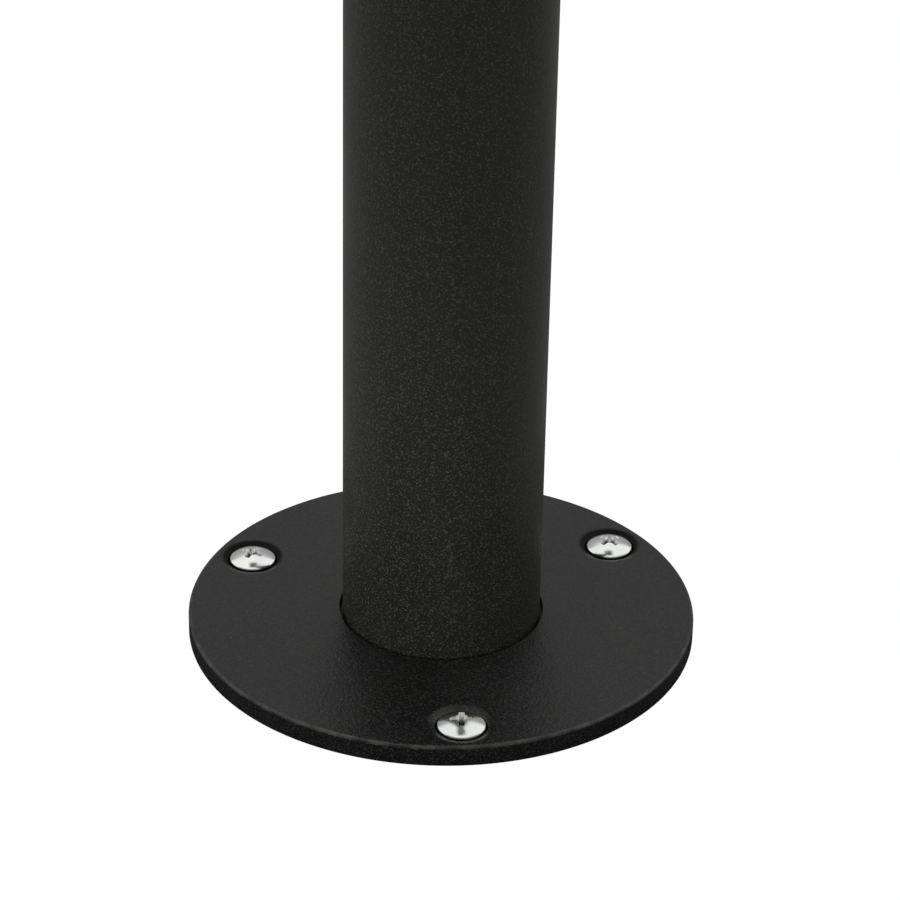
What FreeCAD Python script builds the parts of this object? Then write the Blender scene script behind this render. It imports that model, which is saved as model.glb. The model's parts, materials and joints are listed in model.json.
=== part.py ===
import FreeCAD, Part
import math
import os

from FreeCAD import Vector

# A two-sided street clock on a slim round post, in millimetres.
# +Z is up, the front dial faces -Y, and the origin is the middle of the base plate's underside.
# The rear door and its movement are the front ones turned half a turn about the post's axis.

# ---------------------------------------------------------------- driving dimensions
# Base plate: a thick round disc, powder-coated, held to the ground by three pan-head screws.
PLATE_RADIUS = 64.0
PLATE_THICKNESS = 5.5
PLATE_TOP_ROUND = 0.9
PLATE_FOOT_ROUND = 0.3
SCREW_COUNT = 3
SCREW_EDGE_MARGIN = 10.0
FIRST_SCREW_DEG = -90.0

# M6 pan-head screw with a cross recess. The ground screws and the neck screws are the same size.
SCREW_HEAD_RADIUS = 6.0
SCREW_HEAD_SIDE = 2.6
SCREW_HEAD_DOME = 2.0
SCREW_SHANK_RADIUS = 2.9
SCREW_HOLE_RADIUS = 3.3
RECESS_REACH = 3.35
RECESS_DEPTH = 3.1
RECESS_WING = 1.15
COUNTERBORE_RADIUS = 6.45
COUNTERBORE_DEPTH = 2.9
DISH_RADIUS = 8.4
DISH_DEPTH = 0.8
FRONT_RECESS_DEG = 5.7
SIDE_RECESS_DEG = (5.7, 52.0, 36.0)

# Post: a round tube that stands in a shallow pocket of the base plate.
TUBE_RADIUS = 25.0
TUBE_WALL = 2.0
POCKET_DEPTH = 2.5
POCKET_GAP = 0.7
PLUG_HEIGHT = 25.0
PLUG_FIT = 0.05
FOOT_BOLT_RADIUS = 2.5
FOOT_BOLT_LENGTH = 14.0
FOOT_BOLT_HEAD_RADIUS = 5.0
FOOT_BOLT_HEAD_HEIGHT = 2.6
FOOT_BOLT_INSET = 8.0
FLUSH_GAP = 0.2

# Case: a rolled band round the two dials, carried on a cast saddle at the top of the post.
DIAL_CENTRE_HEIGHT = 1432.0
CASE_RADIUS = 165.0
CASE_WALL = 2.0
CASE_HALF_DEPTH = 48.0
SEAL_WIDTH = 3.0
SADDLE_HEIGHT = 40.0
SADDLE_WEB = 10.0
SADDLE_NECK_WALL = 6.0
SADDLE_TOP_FLARE = 17.0
SADDLE_FIT = 0.1
NECK_SCREW_HEIGHT = 10.0
NECK_SPOTFACE_DEPTH = 1.4
SADDLE_EDGE_GAP = 1.0
SADDLE_BOLT_INSET = 3.0
SADDLE_BOLT_REACH = 12.0
CLAMP_END_MARGIN = 14.0
CLAMP_SIDE_MARGIN = 10.0
CLAMP_THICKNESS = 8.0

# Door: a bezel with the glass, the dial and the movement on it, hinged at the case's left side.
BEZEL_OVERHANG = 3.0
BEZEL_SKIRT = 2.0
BEZEL_FACE_THICKNESS = 3.0
BEZEL_FACE_WIDTH = 23.0
BEZEL_FACE_OUT = 8.0
BEZEL_LAP = 2.0
BEZEL_ROUND = 1.4
CLOSING_GAP = 0.3
GLASS_THICKNESS = 3.0
GLASS_LAP = 5.0
GASKET_LIP = 0.7
GASKET_EDGE = 3.0
GASKET_INSET = 1.5
DIAL_THICKNESS = 1.5
DIAL_TO_GLASS = 9.3
DIAL_EDGE_GAP = 3.0
SPACER_LIP = 4.0
DIAL_SCREW_COUNT = 6
DIAL_SCREW_RADIUS = 1.5
DIAL_SCREW_HEAD_RADIUS = 2.75
DIAL_SCREW_HEAD_HEIGHT = 1.8
DIAL_SCREW_BITE = 1.8

# Hinge and catch, one at each side of a door.
HINGE_OUT = 10.0
HINGE_BACK = 1.0
HINGE_KNUCKLE_RADIUS = 4.0
HINGE_PIN_RADIUS = 2.0
HINGE_PIN_HEAD_RADIUS = 3.2
HINGE_PIN_HEAD_HEIGHT = 1.5
HINGE_RUNNING_GAP = 0.05
HINGE_HALF_LENGTH = 30.0
MIDDLE_KNUCKLE_HALF_LENGTH = 11.5
KNUCKLE_END_GAP = 0.5
LEAF_DEPTH = 11.0
CATCH_HALF_HEIGHT = 9.0
CATCH_OUT = 12.0
CATCH_DEPTH = 9.0
MAGNET_RADIUS = 3.5
MAGNET_LENGTH = 9.7
PULL_THICKNESS = 6.0

# Movement: two brass plates on four pillars behind the dial.
PLATE_HALF_SIDE = 40.0
MOVEMENT_PLATE_THICKNESS = 1.5
MOVEMENT_CORNER = 6.0
PILLAR_OFFSET = 33.0
PILLAR_RADIUS = 3.0
PILLAR_CORE_RADIUS = 1.5
PILLAR_LENGTH = 18.5
PILLAR_HEAD_HEIGHT = 2.0
FRONT_PLATE_GAP = 2.5
BUSH_RADIUS = 6.0
BUSH_SHOULDER_RADIUS = 9.0
BUSH_STAND = 3.0
NUT_ACROSS_FLATS = 17.0
NUT_THICKNESS = 2.4
RUNNING_GAP = 0.05

# Wheels. The cannon pinion drives the motion wheel, and its pinion drives the hour wheel.
ARBOR_RADIUS = 2.5
PIPE_RADIUS = 4.0
STUD_RADIUS = 1.5
MOTION_MODULE = 0.8
CANNON_TEETH = 12
MOTION_TEETH = 36
MOTION_PINION_TEETH = 10
HOUR_TEETH = 40
DRIVE_MODULE = 0.72
CENTRE_TEETH = 48
MOTOR_TEETH = 12
WHEEL_THICKNESS = 2.0
WHEEL_SPACING = 1.0
TOOTH_BACKLASH = 0.16
PRESSURE_DEG = 20.0
ADDENDUM = 0.85
DEDENDUM = 1.25

# Motor, battery and board on the back of the movement.
MOTOR_RADIUS = 12.0
MOTOR_DEPTH = 10.3
MOTOR_BOSS_RADIUS = 3.8
MOTOR_SHAFT_RADIUS = 1.0
SHAFT_END_GAP = 0.5
MOTOR_PIN_RADIUS = 0.5
MOTOR_PIN_OFFSET = 4.0
BOARD_THICKNESS = 1.6
BOARD_HALF_WIDTH = 36.5
BOARD_HEIGHT = 63.0
BOARD_GAP = 1.0
CELL_RADIUS = 7.25
CELL_LENGTH = 49.5
CELL_NUB_RADIUS = 2.75
CELL_NUB_LENGTH = 1.0
HOLDER_WALL = 1.8
HOLDER_FLOOR = 1.2
CELL_FIT = 0.25
KNOB_RADIUS = 8.0
KNOB_LENGTH = 9.0
KNOB_GRIPS = 18

# Hands. The hour and minute hands show ten past ten at rest.
HAND_THICKNESS = 1.0
HOUR_HAND_STAND = 3.5
HAND_GAP = 1.1
HOUR_HAND_LENGTH = 88.0
MINUTE_TIP_CLEARANCE = 14.0
HOUR_BOSS_RADIUS = 9.0
MINUTE_BOSS_RADIUS = 7.5
HAND_TAIL = 36.0
HAND_NUT_RADIUS = 4.5
HAND_NUT_HEIGHT = 1.9
HOUR_HAND_DEG = 305.0
MINUTE_HAND_DEG = 60.0

# ---------------------------------------------------------------- places worked out from them
# "out" is the distance from the case's middle plane towards the viewer of the front dial.
SCREW_CIRCLE_RADIUS = PLATE_RADIUS - SCREW_EDGE_MARGIN
TUBE_FOOT = PLATE_THICKNESS - POCKET_DEPTH
CASE_BOTTOM = DIAL_CENTRE_HEIGHT - CASE_RADIUS
SADDLE_FOOT = CASE_BOTTOM - SADDLE_HEIGHT
TUBE_TOP = CASE_BOTTOM - SADDLE_WEB
SADDLE_NECK_RADIUS = TUBE_RADIUS + SADDLE_NECK_WALL
SADDLE_TOP_RADIUS = TUBE_RADIUS + SADDLE_TOP_FLARE
SADDLE_SIDE = CASE_HALF_DEPTH - BEZEL_LAP - SADDLE_EDGE_GAP
SADDLE_BOLT_OFFSET = TUBE_RADIUS - SADDLE_BOLT_INSET
CLAMP_HALF_LENGTH = SADDLE_BOLT_OFFSET + CLAMP_END_MARGIN
CLAMP_HALF_WIDTH = SADDLE_BOLT_OFFSET + CLAMP_SIDE_MARGIN

BEZEL_RADIUS = CASE_RADIUS + BEZEL_OVERHANG
BEZEL_OPENING = BEZEL_RADIUS - BEZEL_FACE_WIDTH
FACE_OUT = CASE_HALF_DEPTH + BEZEL_FACE_OUT
FACE_BACK = FACE_OUT - BEZEL_FACE_THICKNESS
GLASS_RADIUS = BEZEL_OPENING + GLASS_LAP
GASKET_RADIUS = GLASS_RADIUS + GASKET_EDGE
GLASS_FRONT = FACE_BACK - GASKET_LIP
GLASS_BACK = GLASS_FRONT - GLASS_THICKNESS
GASKET_BACK = GLASS_BACK - GASKET_LIP
DIAL_FRONT = GLASS_BACK - DIAL_TO_GLASS
DIAL_BACK = DIAL_FRONT - DIAL_THICKNESS
DIAL_RADIUS = CASE_RADIUS - CASE_WALL - DIAL_EDGE_GAP
DIAL_SCREW_CIRCLE = (GASKET_RADIUS + DIAL_RADIUS) / 2

HINGE_X = -(CASE_RADIUS + HINGE_OUT)
HINGE_AXIS_OUT = CASE_HALF_DEPTH - HINGE_BACK
LEAF_FRONT = HINGE_AXIS_OUT - BEZEL_LAP

FRONT_PLATE_FRONT = DIAL_BACK - FRONT_PLATE_GAP
FRONT_PLATE_BACK = FRONT_PLATE_FRONT - MOVEMENT_PLATE_THICKNESS
BACK_PLATE_FRONT = FRONT_PLATE_BACK - PILLAR_LENGTH
BACK_PLATE_BACK = BACK_PLATE_FRONT - MOVEMENT_PLATE_THICKNESS
BUSH_FRONT = DIAL_FRONT + BUSH_STAND
MOTOR_BACK = BACK_PLATE_BACK - MOTOR_DEPTH
BOARD_FRONT = MOTOR_BACK - BOARD_GAP
BOARD_BACK = BOARD_FRONT - BOARD_THICKNESS

MOTION_DISTANCE = MOTION_MODULE * (CANNON_TEETH + MOTION_TEETH) / 2
HOUR_MODULE = 2 * MOTION_DISTANCE / (MOTION_PINION_TEETH + HOUR_TEETH)
DRIVE_DISTANCE = DRIVE_MODULE * (CENTRE_TEETH + MOTOR_TEETH) / 2

HOUR_WHEEL_FRONT = FRONT_PLATE_BACK - WHEEL_SPACING - WHEEL_THICKNESS / 2
HOUR_WHEEL_BACK = HOUR_WHEEL_FRONT - WHEEL_THICKNESS
CANNON_FRONT = HOUR_WHEEL_BACK - WHEEL_SPACING
MOTION_WHEEL_FRONT = CANNON_FRONT - WHEEL_SPACING
MOTION_WHEEL_BACK = MOTION_WHEEL_FRONT - WHEEL_THICKNESS
CANNON_BACK = MOTION_WHEEL_BACK - WHEEL_SPACING / 2
CENTRE_WHEEL_BACK = BACK_PLATE_FRONT + WHEEL_SPACING
CENTRE_WHEEL_FRONT = CENTRE_WHEEL_BACK + WHEEL_THICKNESS

HOUR_HAND_BACK = DIAL_FRONT + HOUR_HAND_STAND
HOUR_HAND_FRONT = HOUR_HAND_BACK + HAND_THICKNESS
MINUTE_HAND_BACK = HOUR_HAND_FRONT + HAND_GAP
MINUTE_HAND_FRONT = MINUTE_HAND_BACK + HAND_THICKNESS
MINUTE_HAND_LENGTH = BEZEL_OPENING - MINUTE_TIP_CLEARANCE

FOOT_BOLT_CIRCLE = TUBE_RADIUS - TUBE_WALL - FOOT_BOLT_INSET
UP = Vector(0, 0, 1)
ORIGIN = Vector(0, 0, 0)


# ---------------------------------------------------------------- shape helpers
def upright(radius, low, high, x=0.0, y=0.0):
    """A vertical cylinder."""
    return Part.makeCylinder(radius, high - low, Vector(x, y, low))


def across(radius, back, front, x=0.0, z=0.0):
    """A cylinder along the dial's axis, at x and z from the dial's centre."""
    start = Vector(x, -front, DIAL_CENTRE_HEIGHT + z)
    return Part.makeCylinder(radius, front - back, start, Vector(0, 1, 0))


def ring(outer, inner, back, front, x=0.0, z=0.0):
    """A flat ring along the dial's axis."""
    return across(outer, back, front, x, z).cut(across(inner, back - 1, front + 1, x, z))


def block(x0, x1, back, front, z0, z1):
    """A box, with its heights counted from the dial's centre."""
    corner = Vector(x0, -front, DIAL_CENTRE_HEIGHT + z0)
    return Part.makeBox(x1 - x0, front - back, z1 - z0, corner)


def turned(points):
    """A solid of revolution about Z, from (radius, height) corners."""
    corners = [Vector(r, 0, z) for r, z in points]
    wire = Part.makePolygon(corners + corners[:1])
    return Part.Face(wire).revolve(ORIGIN, UP, 360)


def plate_outline(corners, back, front):
    """A flat plate across the dial's axis, from (x, z) corners counted from the dial's centre."""
    points = [Vector(x, -front, DIAL_CENTRE_HEIGHT + z) for x, z in corners]
    face = Part.Face(Part.makePolygon(points + points[:1]))
    return face.extrude(Vector(0, front - back, 0))


def around(shape, count, first_deg=0.0):
    """Copies of a shape about the post's axis. The shape is drawn at angle 0."""
    copies = []
    for index in range(count):
        copy = shape.copy()
        copy.rotate(ORIGIN, UP, first_deg + index * 360.0 / count)
        copies.append(copy)
    return copies


def about_dial(shape, angle_deg):
    """A copy of a shape turned clockwise about the dial's axis, as seen from the front."""
    copy = shape.copy()
    copy.rotate(Vector(0, 0, DIAL_CENTRE_HEIGHT), Vector(0, 1, 0), angle_deg)
    return copy


def edges_at(shape, height, radius):
    """The circular edges of a given radius at a given height, for a fillet."""
    found = []
    for edge in shape.Edges:
        curve = edge.Curve
        if isinstance(curve, Part.Circle) and abs(curve.Radius - radius) < 1e-6:
            if abs(curve.Center.z - height) < 1e-6 and edge.isClosed():
                found.append(edge)
    return found


def rim_edges(shape, out, radius):
    """The circular edges about the dial's axis at a given distance out, for a fillet."""
    found = []
    for edge in shape.Edges:
        curve = edge.Curve
        if isinstance(curve, Part.Circle) and abs(curve.Radius - radius) < 1e-6:
            if abs(curve.Center.y + out) < 1e-6:
                found.append(edge)
    return found


# ---------------------------------------------------------------- pan-head screw
def cross_recess(top):
    """The tapered cross that a driver fits: two crossed wings and a pointed core."""
    foot_reach = RECESS_REACH * 0.35
    foot = top - RECESS_DEPTH
    corners = [
        Vector(-RECESS_REACH, -RECESS_WING / 2, top),
        Vector(RECESS_REACH, -RECESS_WING / 2, top),
        Vector(foot_reach, -RECESS_WING / 2, foot),
        Vector(-foot_reach, -RECESS_WING / 2, foot),
    ]
    wing = Part.Face(Part.makePolygon(corners + corners[:1])).extrude(Vector(0, RECESS_WING, 0))
    crossed = wing.copy()
    crossed.rotate(ORIGIN, UP, 90)
    core = Part.makeCone(RECESS_WING * 0.55, RECESS_REACH * 0.58, RECESS_DEPTH, Vector(0, 0, foot))
    return wing.fuse([crossed, core])


def pan_screw(shank_length, recess_deg):
    """A pan-head screw standing on its seat at height 0, with its shank below."""
    top = SCREW_HEAD_SIDE + SCREW_HEAD_DOME
    chord = math.hypot(SCREW_HEAD_RADIUS, SCREW_HEAD_DOME)
    dome_radius = chord * chord / (2 * SCREW_HEAD_DOME)
    half_way = SCREW_HEAD_RADIUS / 2
    half_way_height = top - dome_radius + math.sqrt(dome_radius**2 - half_way**2)
    side_top = Vector(SCREW_HEAD_RADIUS, 0, SCREW_HEAD_SIDE)
    crown = Vector(0, 0, top)
    dome = Part.Arc(side_top, Vector(half_way, 0, half_way_height), crown).toShape()
    straight = [
        crown,
        Vector(0, 0, -shank_length),
        Vector(SCREW_SHANK_RADIUS, 0, -shank_length),
        Vector(SCREW_SHANK_RADIUS, 0, 0),
        Vector(SCREW_HEAD_RADIUS, 0, 0),
        side_top,
    ]
    sides = Part.makePolygon(straight).Edges
    body = Part.Face(Part.Wire(sides + [dome])).revolve(ORIGIN, UP, 360)
    recess = cross_recess(top + 0.3)
    recess.rotate(ORIGIN, UP, recess_deg)
    return body.cut(recess)


# ---------------------------------------------------------------- base plate and its fixings
def base_plate():
    plate = upright(PLATE_RADIUS, 0, PLATE_THICKNESS)
    plate = plate.makeFillet(PLATE_TOP_ROUND, edges_at(plate, PLATE_THICKNESS, PLATE_RADIUS))
    plate = plate.makeFillet(PLATE_FOOT_ROUND, edges_at(plate, 0, PLATE_RADIUS))
    seat = PLATE_THICKNESS - COUNTERBORE_DEPTH
    dish_foot = PLATE_THICKNESS - DISH_DEPTH
    over = PLATE_THICKNESS + 1
    hole = turned(
        [
            (0, -1),
            (SCREW_HOLE_RADIUS, -1),
            (SCREW_HOLE_RADIUS, seat),
            (COUNTERBORE_RADIUS, seat),
            (COUNTERBORE_RADIUS, dish_foot),
            (DISH_RADIUS, PLATE_THICKNESS),
            (DISH_RADIUS, over),
            (0, over),
        ]
    )
    hole.translate(Vector(SCREW_CIRCLE_RADIUS, 0, 0))
    pocket = upright(TUBE_RADIUS + POCKET_GAP, TUBE_FOOT, over)
    way_in = upright(FOOT_BOLT_HEAD_RADIUS, -1, FLUSH_GAP, FOOT_BOLT_CIRCLE)
    bolt_hole = foot_bolt(FOOT_BOLT_LENGTH).fuse(way_in)
    cuts = around(hole, SCREW_COUNT, FIRST_SCREW_DEG) + around(bolt_hole, SCREW_COUNT)
    return plate.cut(cuts + [pocket])


def base_screws():
    screws = []
    seat = PLATE_THICKNESS - COUNTERBORE_DEPTH
    for index, recess_deg in enumerate(SIDE_RECESS_DEG):
        angle = math.radians(FIRST_SCREW_DEG + index * 360.0 / SCREW_COUNT)
        screw = pan_screw(seat - FLUSH_GAP, -recess_deg)
        x = SCREW_CIRCLE_RADIUS * math.cos(angle)
        y = SCREW_CIRCLE_RADIUS * math.sin(angle)
        screw.translate(Vector(x, y, seat))
        screws.append(screw)
    return Part.makeCompound(screws)


def foot_bolt(length):
    """A countersunk bolt from below, drawn at angle 0 on the foot bolts' circle."""
    head_top = FLUSH_GAP + FOOT_BOLT_HEAD_HEIGHT
    bolt = turned(
        [
            (0, FLUSH_GAP),
            (FOOT_BOLT_HEAD_RADIUS, FLUSH_GAP),
            (FOOT_BOLT_RADIUS, head_top),
            (FOOT_BOLT_RADIUS, length),
            (0, length),
        ]
    )
    bolt.translate(Vector(FOOT_BOLT_CIRCLE, 0, 0))
    return bolt


def foot_bolts():
    return Part.makeCompound(around(foot_bolt(FOOT_BOLT_LENGTH), SCREW_COUNT))


def foot_plug():
    radius = TUBE_RADIUS - TUBE_WALL - PLUG_FIT
    plug = upright(radius, TUBE_FOOT, TUBE_FOOT + PLUG_HEIGHT)
    return plug.cut(around(foot_bolt(FOOT_BOLT_LENGTH), SCREW_COUNT))


def post_tube():
    outer = upright(TUBE_RADIUS, TUBE_FOOT, TUBE_TOP)
    return outer.cut(upright(TUBE_RADIUS - TUBE_WALL, TUBE_FOOT - 1, TUBE_TOP + 1))


# ---------------------------------------------------------------- saddle and case
def neck_screw():
    """A neck screw along +X, drawn at angle 0. Its point bears on the tube."""
    seat = SADDLE_NECK_RADIUS - NECK_SPOTFACE_DEPTH
    screw = pan_screw(seat - TUBE_RADIUS - FLUSH_GAP, FRONT_RECESS_DEG)
    screw.rotate(ORIGIN, Vector(0, 1, 0), 90)
    screw.translate(Vector(seat, 0, SADDLE_FOOT + NECK_SCREW_HEIGHT))
    return screw


def neck_screws():
    return Part.makeCompound(around(neck_screw(), SCREW_COUNT, FIRST_SCREW_DEG))


def saddle_bolt_places():
    for x in (-SADDLE_BOLT_OFFSET, SADDLE_BOLT_OFFSET):
        for y in (-SADDLE_BOLT_OFFSET, SADDLE_BOLT_OFFSET):
            yield x, y


def clamp_top():
    return DIAL_CENTRE_HEIGHT - CASE_RADIUS + CASE_WALL + CLAMP_THICKNESS


def saddle_bolt_foot():
    return CASE_BOTTOM - SADDLE_BOLT_REACH


def neck_saddle():
    foot = SADDLE_FOOT
    flare_foot = foot + SADDLE_HEIGHT * 0.45
    flare_top = CASE_BOTTOM - SADDLE_HEIGHT * 0.12
    top = CASE_BOTTOM + SADDLE_HEIGHT / 2
    body = turned(
        [
            (0, foot),
            (SADDLE_NECK_RADIUS, foot),
            (SADDLE_NECK_RADIUS, flare_foot),
            (SADDLE_TOP_RADIUS, flare_top),
            (SADDLE_TOP_RADIUS, top),
            (0, top),
        ]
    )
    body = body.makeFillet(BEZEL_ROUND, edges_at(body, foot, SADDLE_NECK_RADIUS))
    body = body.makeFillet(BEZEL_ROUND * 4, edges_at(body, flare_foot, SADDLE_NECK_RADIUS))
    body = body.cut(across(CASE_RADIUS, -2 * CASE_RADIUS, 2 * CASE_RADIUS))
    # A wide saddle is planed flat at its front and back, clear of the closed bezels.
    wide = 2 * SADDLE_TOP_RADIUS
    low = foot - DIAL_CENTRE_HEIGHT
    high = top - DIAL_CENTRE_HEIGHT
    front_waste = block(-wide, wide, SADDLE_SIDE, wide, low, high)
    back_waste = block(-wide, wide, -wide, -SADDLE_SIDE, low, high)
    body = body.cut([front_waste, back_waste])
    cuts = [upright(TUBE_RADIUS + SADDLE_FIT, foot - 1, TUBE_TOP)]
    for x, y in saddle_bolt_places():
        cuts.append(upright(SCREW_SHANK_RADIUS, saddle_bolt_foot(), top, x, y))
    reach = SADDLE_NECK_RADIUS + SCREW_HEAD_RADIUS
    seat = SADDLE_NECK_RADIUS - NECK_SPOTFACE_DEPTH
    height = foot + NECK_SCREW_HEIGHT
    face_radius = SCREW_HEAD_RADIUS + SADDLE_FIT
    spotface = Part.makeCylinder(face_radius, reach - seat, Vector(seat, 0, height), Vector(1, 0, 0))
    drill = Part.makeCylinder(SCREW_SHANK_RADIUS, reach, Vector(0, 0, height), Vector(1, 0, 0))
    cuts += around(spotface.fuse(drill), SCREW_COUNT, FIRST_SCREW_DEG)
    return body.cut(cuts)


def clamp_block():
    """The pad inside the case that spreads the saddle bolts' load over the band."""
    low = -(CASE_RADIUS - CASE_WALL) - 1
    high = clamp_top() - DIAL_CENTRE_HEIGHT
    pad = block(-CLAMP_HALF_LENGTH, CLAMP_HALF_LENGTH, -CLAMP_HALF_WIDTH, CLAMP_HALF_WIDTH, low, high)
    pad = pad.common(across(CASE_RADIUS - CASE_WALL, -CASE_HALF_DEPTH, CASE_HALF_DEPTH))
    holes = []
    for x, y in saddle_bolt_places():
        holes.append(upright(SCREW_SHANK_RADIUS, saddle_bolt_foot(), clamp_top() + 1, x, y))
    return pad.cut(holes)


def saddle_bolts():
    bolts = []
    for x, y in saddle_bolt_places():
        bolt = pan_screw(clamp_top() - saddle_bolt_foot(), 0)
        bolt.translate(Vector(x, y, clamp_top()))
        bolts.append(bolt)
    return Part.makeCompound(bolts)


def case_band():
    band = ring(CASE_RADIUS, CASE_RADIUS - CASE_WALL, -CASE_HALF_DEPTH, CASE_HALF_DEPTH)
    holes = []
    for x, y in saddle_bolt_places():
        holes.append(upright(SCREW_SHANK_RADIUS, saddle_bolt_foot(), clamp_top(), x, y))
    return band.cut(holes)


def door_seal():
    """The rubber ring on the case's edge that the closed bezel presses on."""
    return ring(CASE_RADIUS, CASE_RADIUS - SEAL_WIDTH, CASE_HALF_DEPTH, FACE_BACK - CLOSING_GAP)


# ---------------------------------------------------------------- hinge and catch on the case
def hinge_cylinder(radius, low, high):
    start = Vector(HINGE_X, -HINGE_AXIS_OUT, DIAL_CENTRE_HEIGHT + low)
    return Part.makeCylinder(radius, high - low, start)


def hinge_leaf():
    """The case's half of the hinge: two knuckles on a pad that is cut to the band's curve."""
    inner = MIDDLE_KNUCKLE_HALF_LENGTH + KNUCKLE_END_GAP
    left = HINGE_X - HINGE_KNUCKLE_RADIUS
    pad = block(
        left, -CASE_RADIUS / 2, LEAF_FRONT - LEAF_DEPTH, LEAF_FRONT, -HINGE_HALF_LENGTH, HINGE_HALF_LENGTH
    )
    swing = HINGE_KNUCKLE_RADIUS + KNUCKLE_END_GAP
    relief = block(left - 1, 0, HINGE_AXIS_OUT - swing, HINGE_AXIS_OUT, -inner, inner)
    knuckles = [
        hinge_cylinder(HINGE_KNUCKLE_RADIUS, inner, HINGE_HALF_LENGTH),
        hinge_cylinder(HINGE_KNUCKLE_RADIUS, -HINGE_HALF_LENGTH, -inner),
    ]
    leaf = pad.cut([relief, across(CASE_RADIUS, -CASE_RADIUS, CASE_RADIUS)]).fuse(knuckles)
    return leaf.cut(hinge_cylinder(HINGE_PIN_RADIUS, -HINGE_HALF_LENGTH, HINGE_HALF_LENGTH)).removeSplitter()


def hinge_pin():
    pin = hinge_cylinder(HINGE_PIN_RADIUS, -HINGE_HALF_LENGTH, HINGE_HALF_LENGTH)
    top = HINGE_HALF_LENGTH + HINGE_PIN_HEAD_HEIGHT
    heads = [
        hinge_cylinder(HINGE_PIN_HEAD_RADIUS, HINGE_HALF_LENGTH, top),
        hinge_cylinder(HINGE_PIN_HEAD_RADIUS, -top, -HINGE_HALF_LENGTH),
    ]
    return pin.fuse(heads)


def magnet_x():
    return BEZEL_RADIUS + MAGNET_RADIUS + KNUCKLE_END_GAP


def magnet_front():
    return FACE_OUT - PULL_THICKNESS - CLOSING_GAP


def catch_magnet():
    return across(MAGNET_RADIUS, magnet_front() - MAGNET_LENGTH, magnet_front(), magnet_x())


def catch_block():
    """The keeper at the case's right side, with a magnet let into its front."""
    right = CASE_RADIUS + CATCH_OUT
    body = block(0, right, LEAF_FRONT - CATCH_DEPTH, LEAF_FRONT, -CATCH_HALF_HEIGHT, CATCH_HALF_HEIGHT)
    return body.cut([across(CASE_RADIUS, -CASE_RADIUS, CASE_RADIUS), catch_magnet()])


# ---------------------------------------------------------------- door
def dial_screw_places():
    for index in range(DIAL_SCREW_COUNT):
        angle = math.radians(index * 360.0 / DIAL_SCREW_COUNT)
        yield DIAL_SCREW_CIRCLE * math.cos(angle), DIAL_SCREW_CIRCLE * math.sin(angle)


def dial_screw_holes(back, front):
    return [across(DIAL_SCREW_RADIUS, back, front, x, z) for x, z in dial_screw_places()]


def bezel():
    """The door's ring, with its hinge knuckle at the left and its finger pull at the right."""
    skirt_back = CASE_HALF_DEPTH - BEZEL_LAP
    face = across(BEZEL_RADIUS, skirt_back, FACE_OUT)
    face = face.cut(across(BEZEL_RADIUS - BEZEL_SKIRT, skirt_back - 1, FACE_BACK))
    arm_high = FACE_OUT - BEZEL_ROUND
    arm_right = -(BEZEL_RADIUS - BEZEL_SKIRT / 2)
    half = MIDDLE_KNUCKLE_HALF_LENGTH
    arm = block(HINGE_X, arm_right, HINGE_AXIS_OUT, arm_high, -half, half)
    knuckle = hinge_cylinder(HINGE_KNUCKLE_RADIUS, -half, half)
    pull_right = CASE_RADIUS + CATCH_OUT
    pull_back = FACE_OUT - PULL_THICKNESS
    pull = block(
        BEZEL_OPENING + BEZEL_SKIRT, pull_right, pull_back, arm_high, -CATCH_HALF_HEIGHT, CATCH_HALF_HEIGHT
    )
    pull = pull.cut(across(BEZEL_RADIUS - BEZEL_SKIRT / 2, pull_back - 1, FACE_OUT))
    face = face.makeFillet(BEZEL_ROUND, rim_edges(face, FACE_OUT, BEZEL_RADIUS))
    face = face.cut(across(BEZEL_OPENING, FACE_BACK - 1, FACE_OUT + 1))
    face = face.makeFillet(BEZEL_ROUND, rim_edges(face, FACE_OUT, BEZEL_OPENING))
    body = face.fuse([arm, knuckle, pull])
    pin_hole = hinge_cylinder(HINGE_PIN_RADIUS + HINGE_RUNNING_GAP, -half - 1, half + 1)
    return body.cut(dial_screw_holes(FACE_BACK - 1, FACE_BACK + DIAL_SCREW_BITE) + [pin_hole])


def glass():
    return across(GLASS_RADIUS, GLASS_BACK, GLASS_FRONT)


def glass_gasket():
    """A rubber channel round the glass's edge."""
    channel = ring(GASKET_RADIUS, BEZEL_OPENING + GASKET_INSET, GASKET_BACK, FACE_BACK)
    return channel.cut(glass())


def spacer_ring():
    """The ring between the dial and the bezel. Its lip presses the gasket home."""
    wall = ring(DIAL_RADIUS, GASKET_RADIUS, DIAL_FRONT, FACE_BACK)
    lip = ring(DIAL_RADIUS, GASKET_RADIUS - SPACER_LIP, DIAL_FRONT, GASKET_BACK)
    return wall.fuse(lip).cut(dial_screw_holes(DIAL_FRONT - 1, FACE_BACK + 1)).removeSplitter()


def dial():
    disc = across(DIAL_RADIUS, DIAL_BACK, DIAL_FRONT)
    centre = across(BUSH_RADIUS, DIAL_BACK - 1, DIAL_FRONT + 1)
    return disc.cut(dial_screw_holes(DIAL_BACK - 1, DIAL_FRONT + 1) + [centre])


def dial_screws():
    screws = []
    for x, z in dial_screw_places():
        shank = across(DIAL_SCREW_RADIUS, DIAL_BACK, FACE_BACK + DIAL_SCREW_BITE, x, z)
        head = across(DIAL_SCREW_HEAD_RADIUS, DIAL_BACK - DIAL_SCREW_HEAD_HEIGHT, DIAL_BACK, x, z)
        screws.append(shank.fuse(head))
    return Part.makeCompound(screws)


# ---------------------------------------------------------------- movement frame
def pillar_places():
    for x in (-PILLAR_OFFSET, PILLAR_OFFSET):
        for z in (-PILLAR_OFFSET, PILLAR_OFFSET):
            yield x, z


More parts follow.
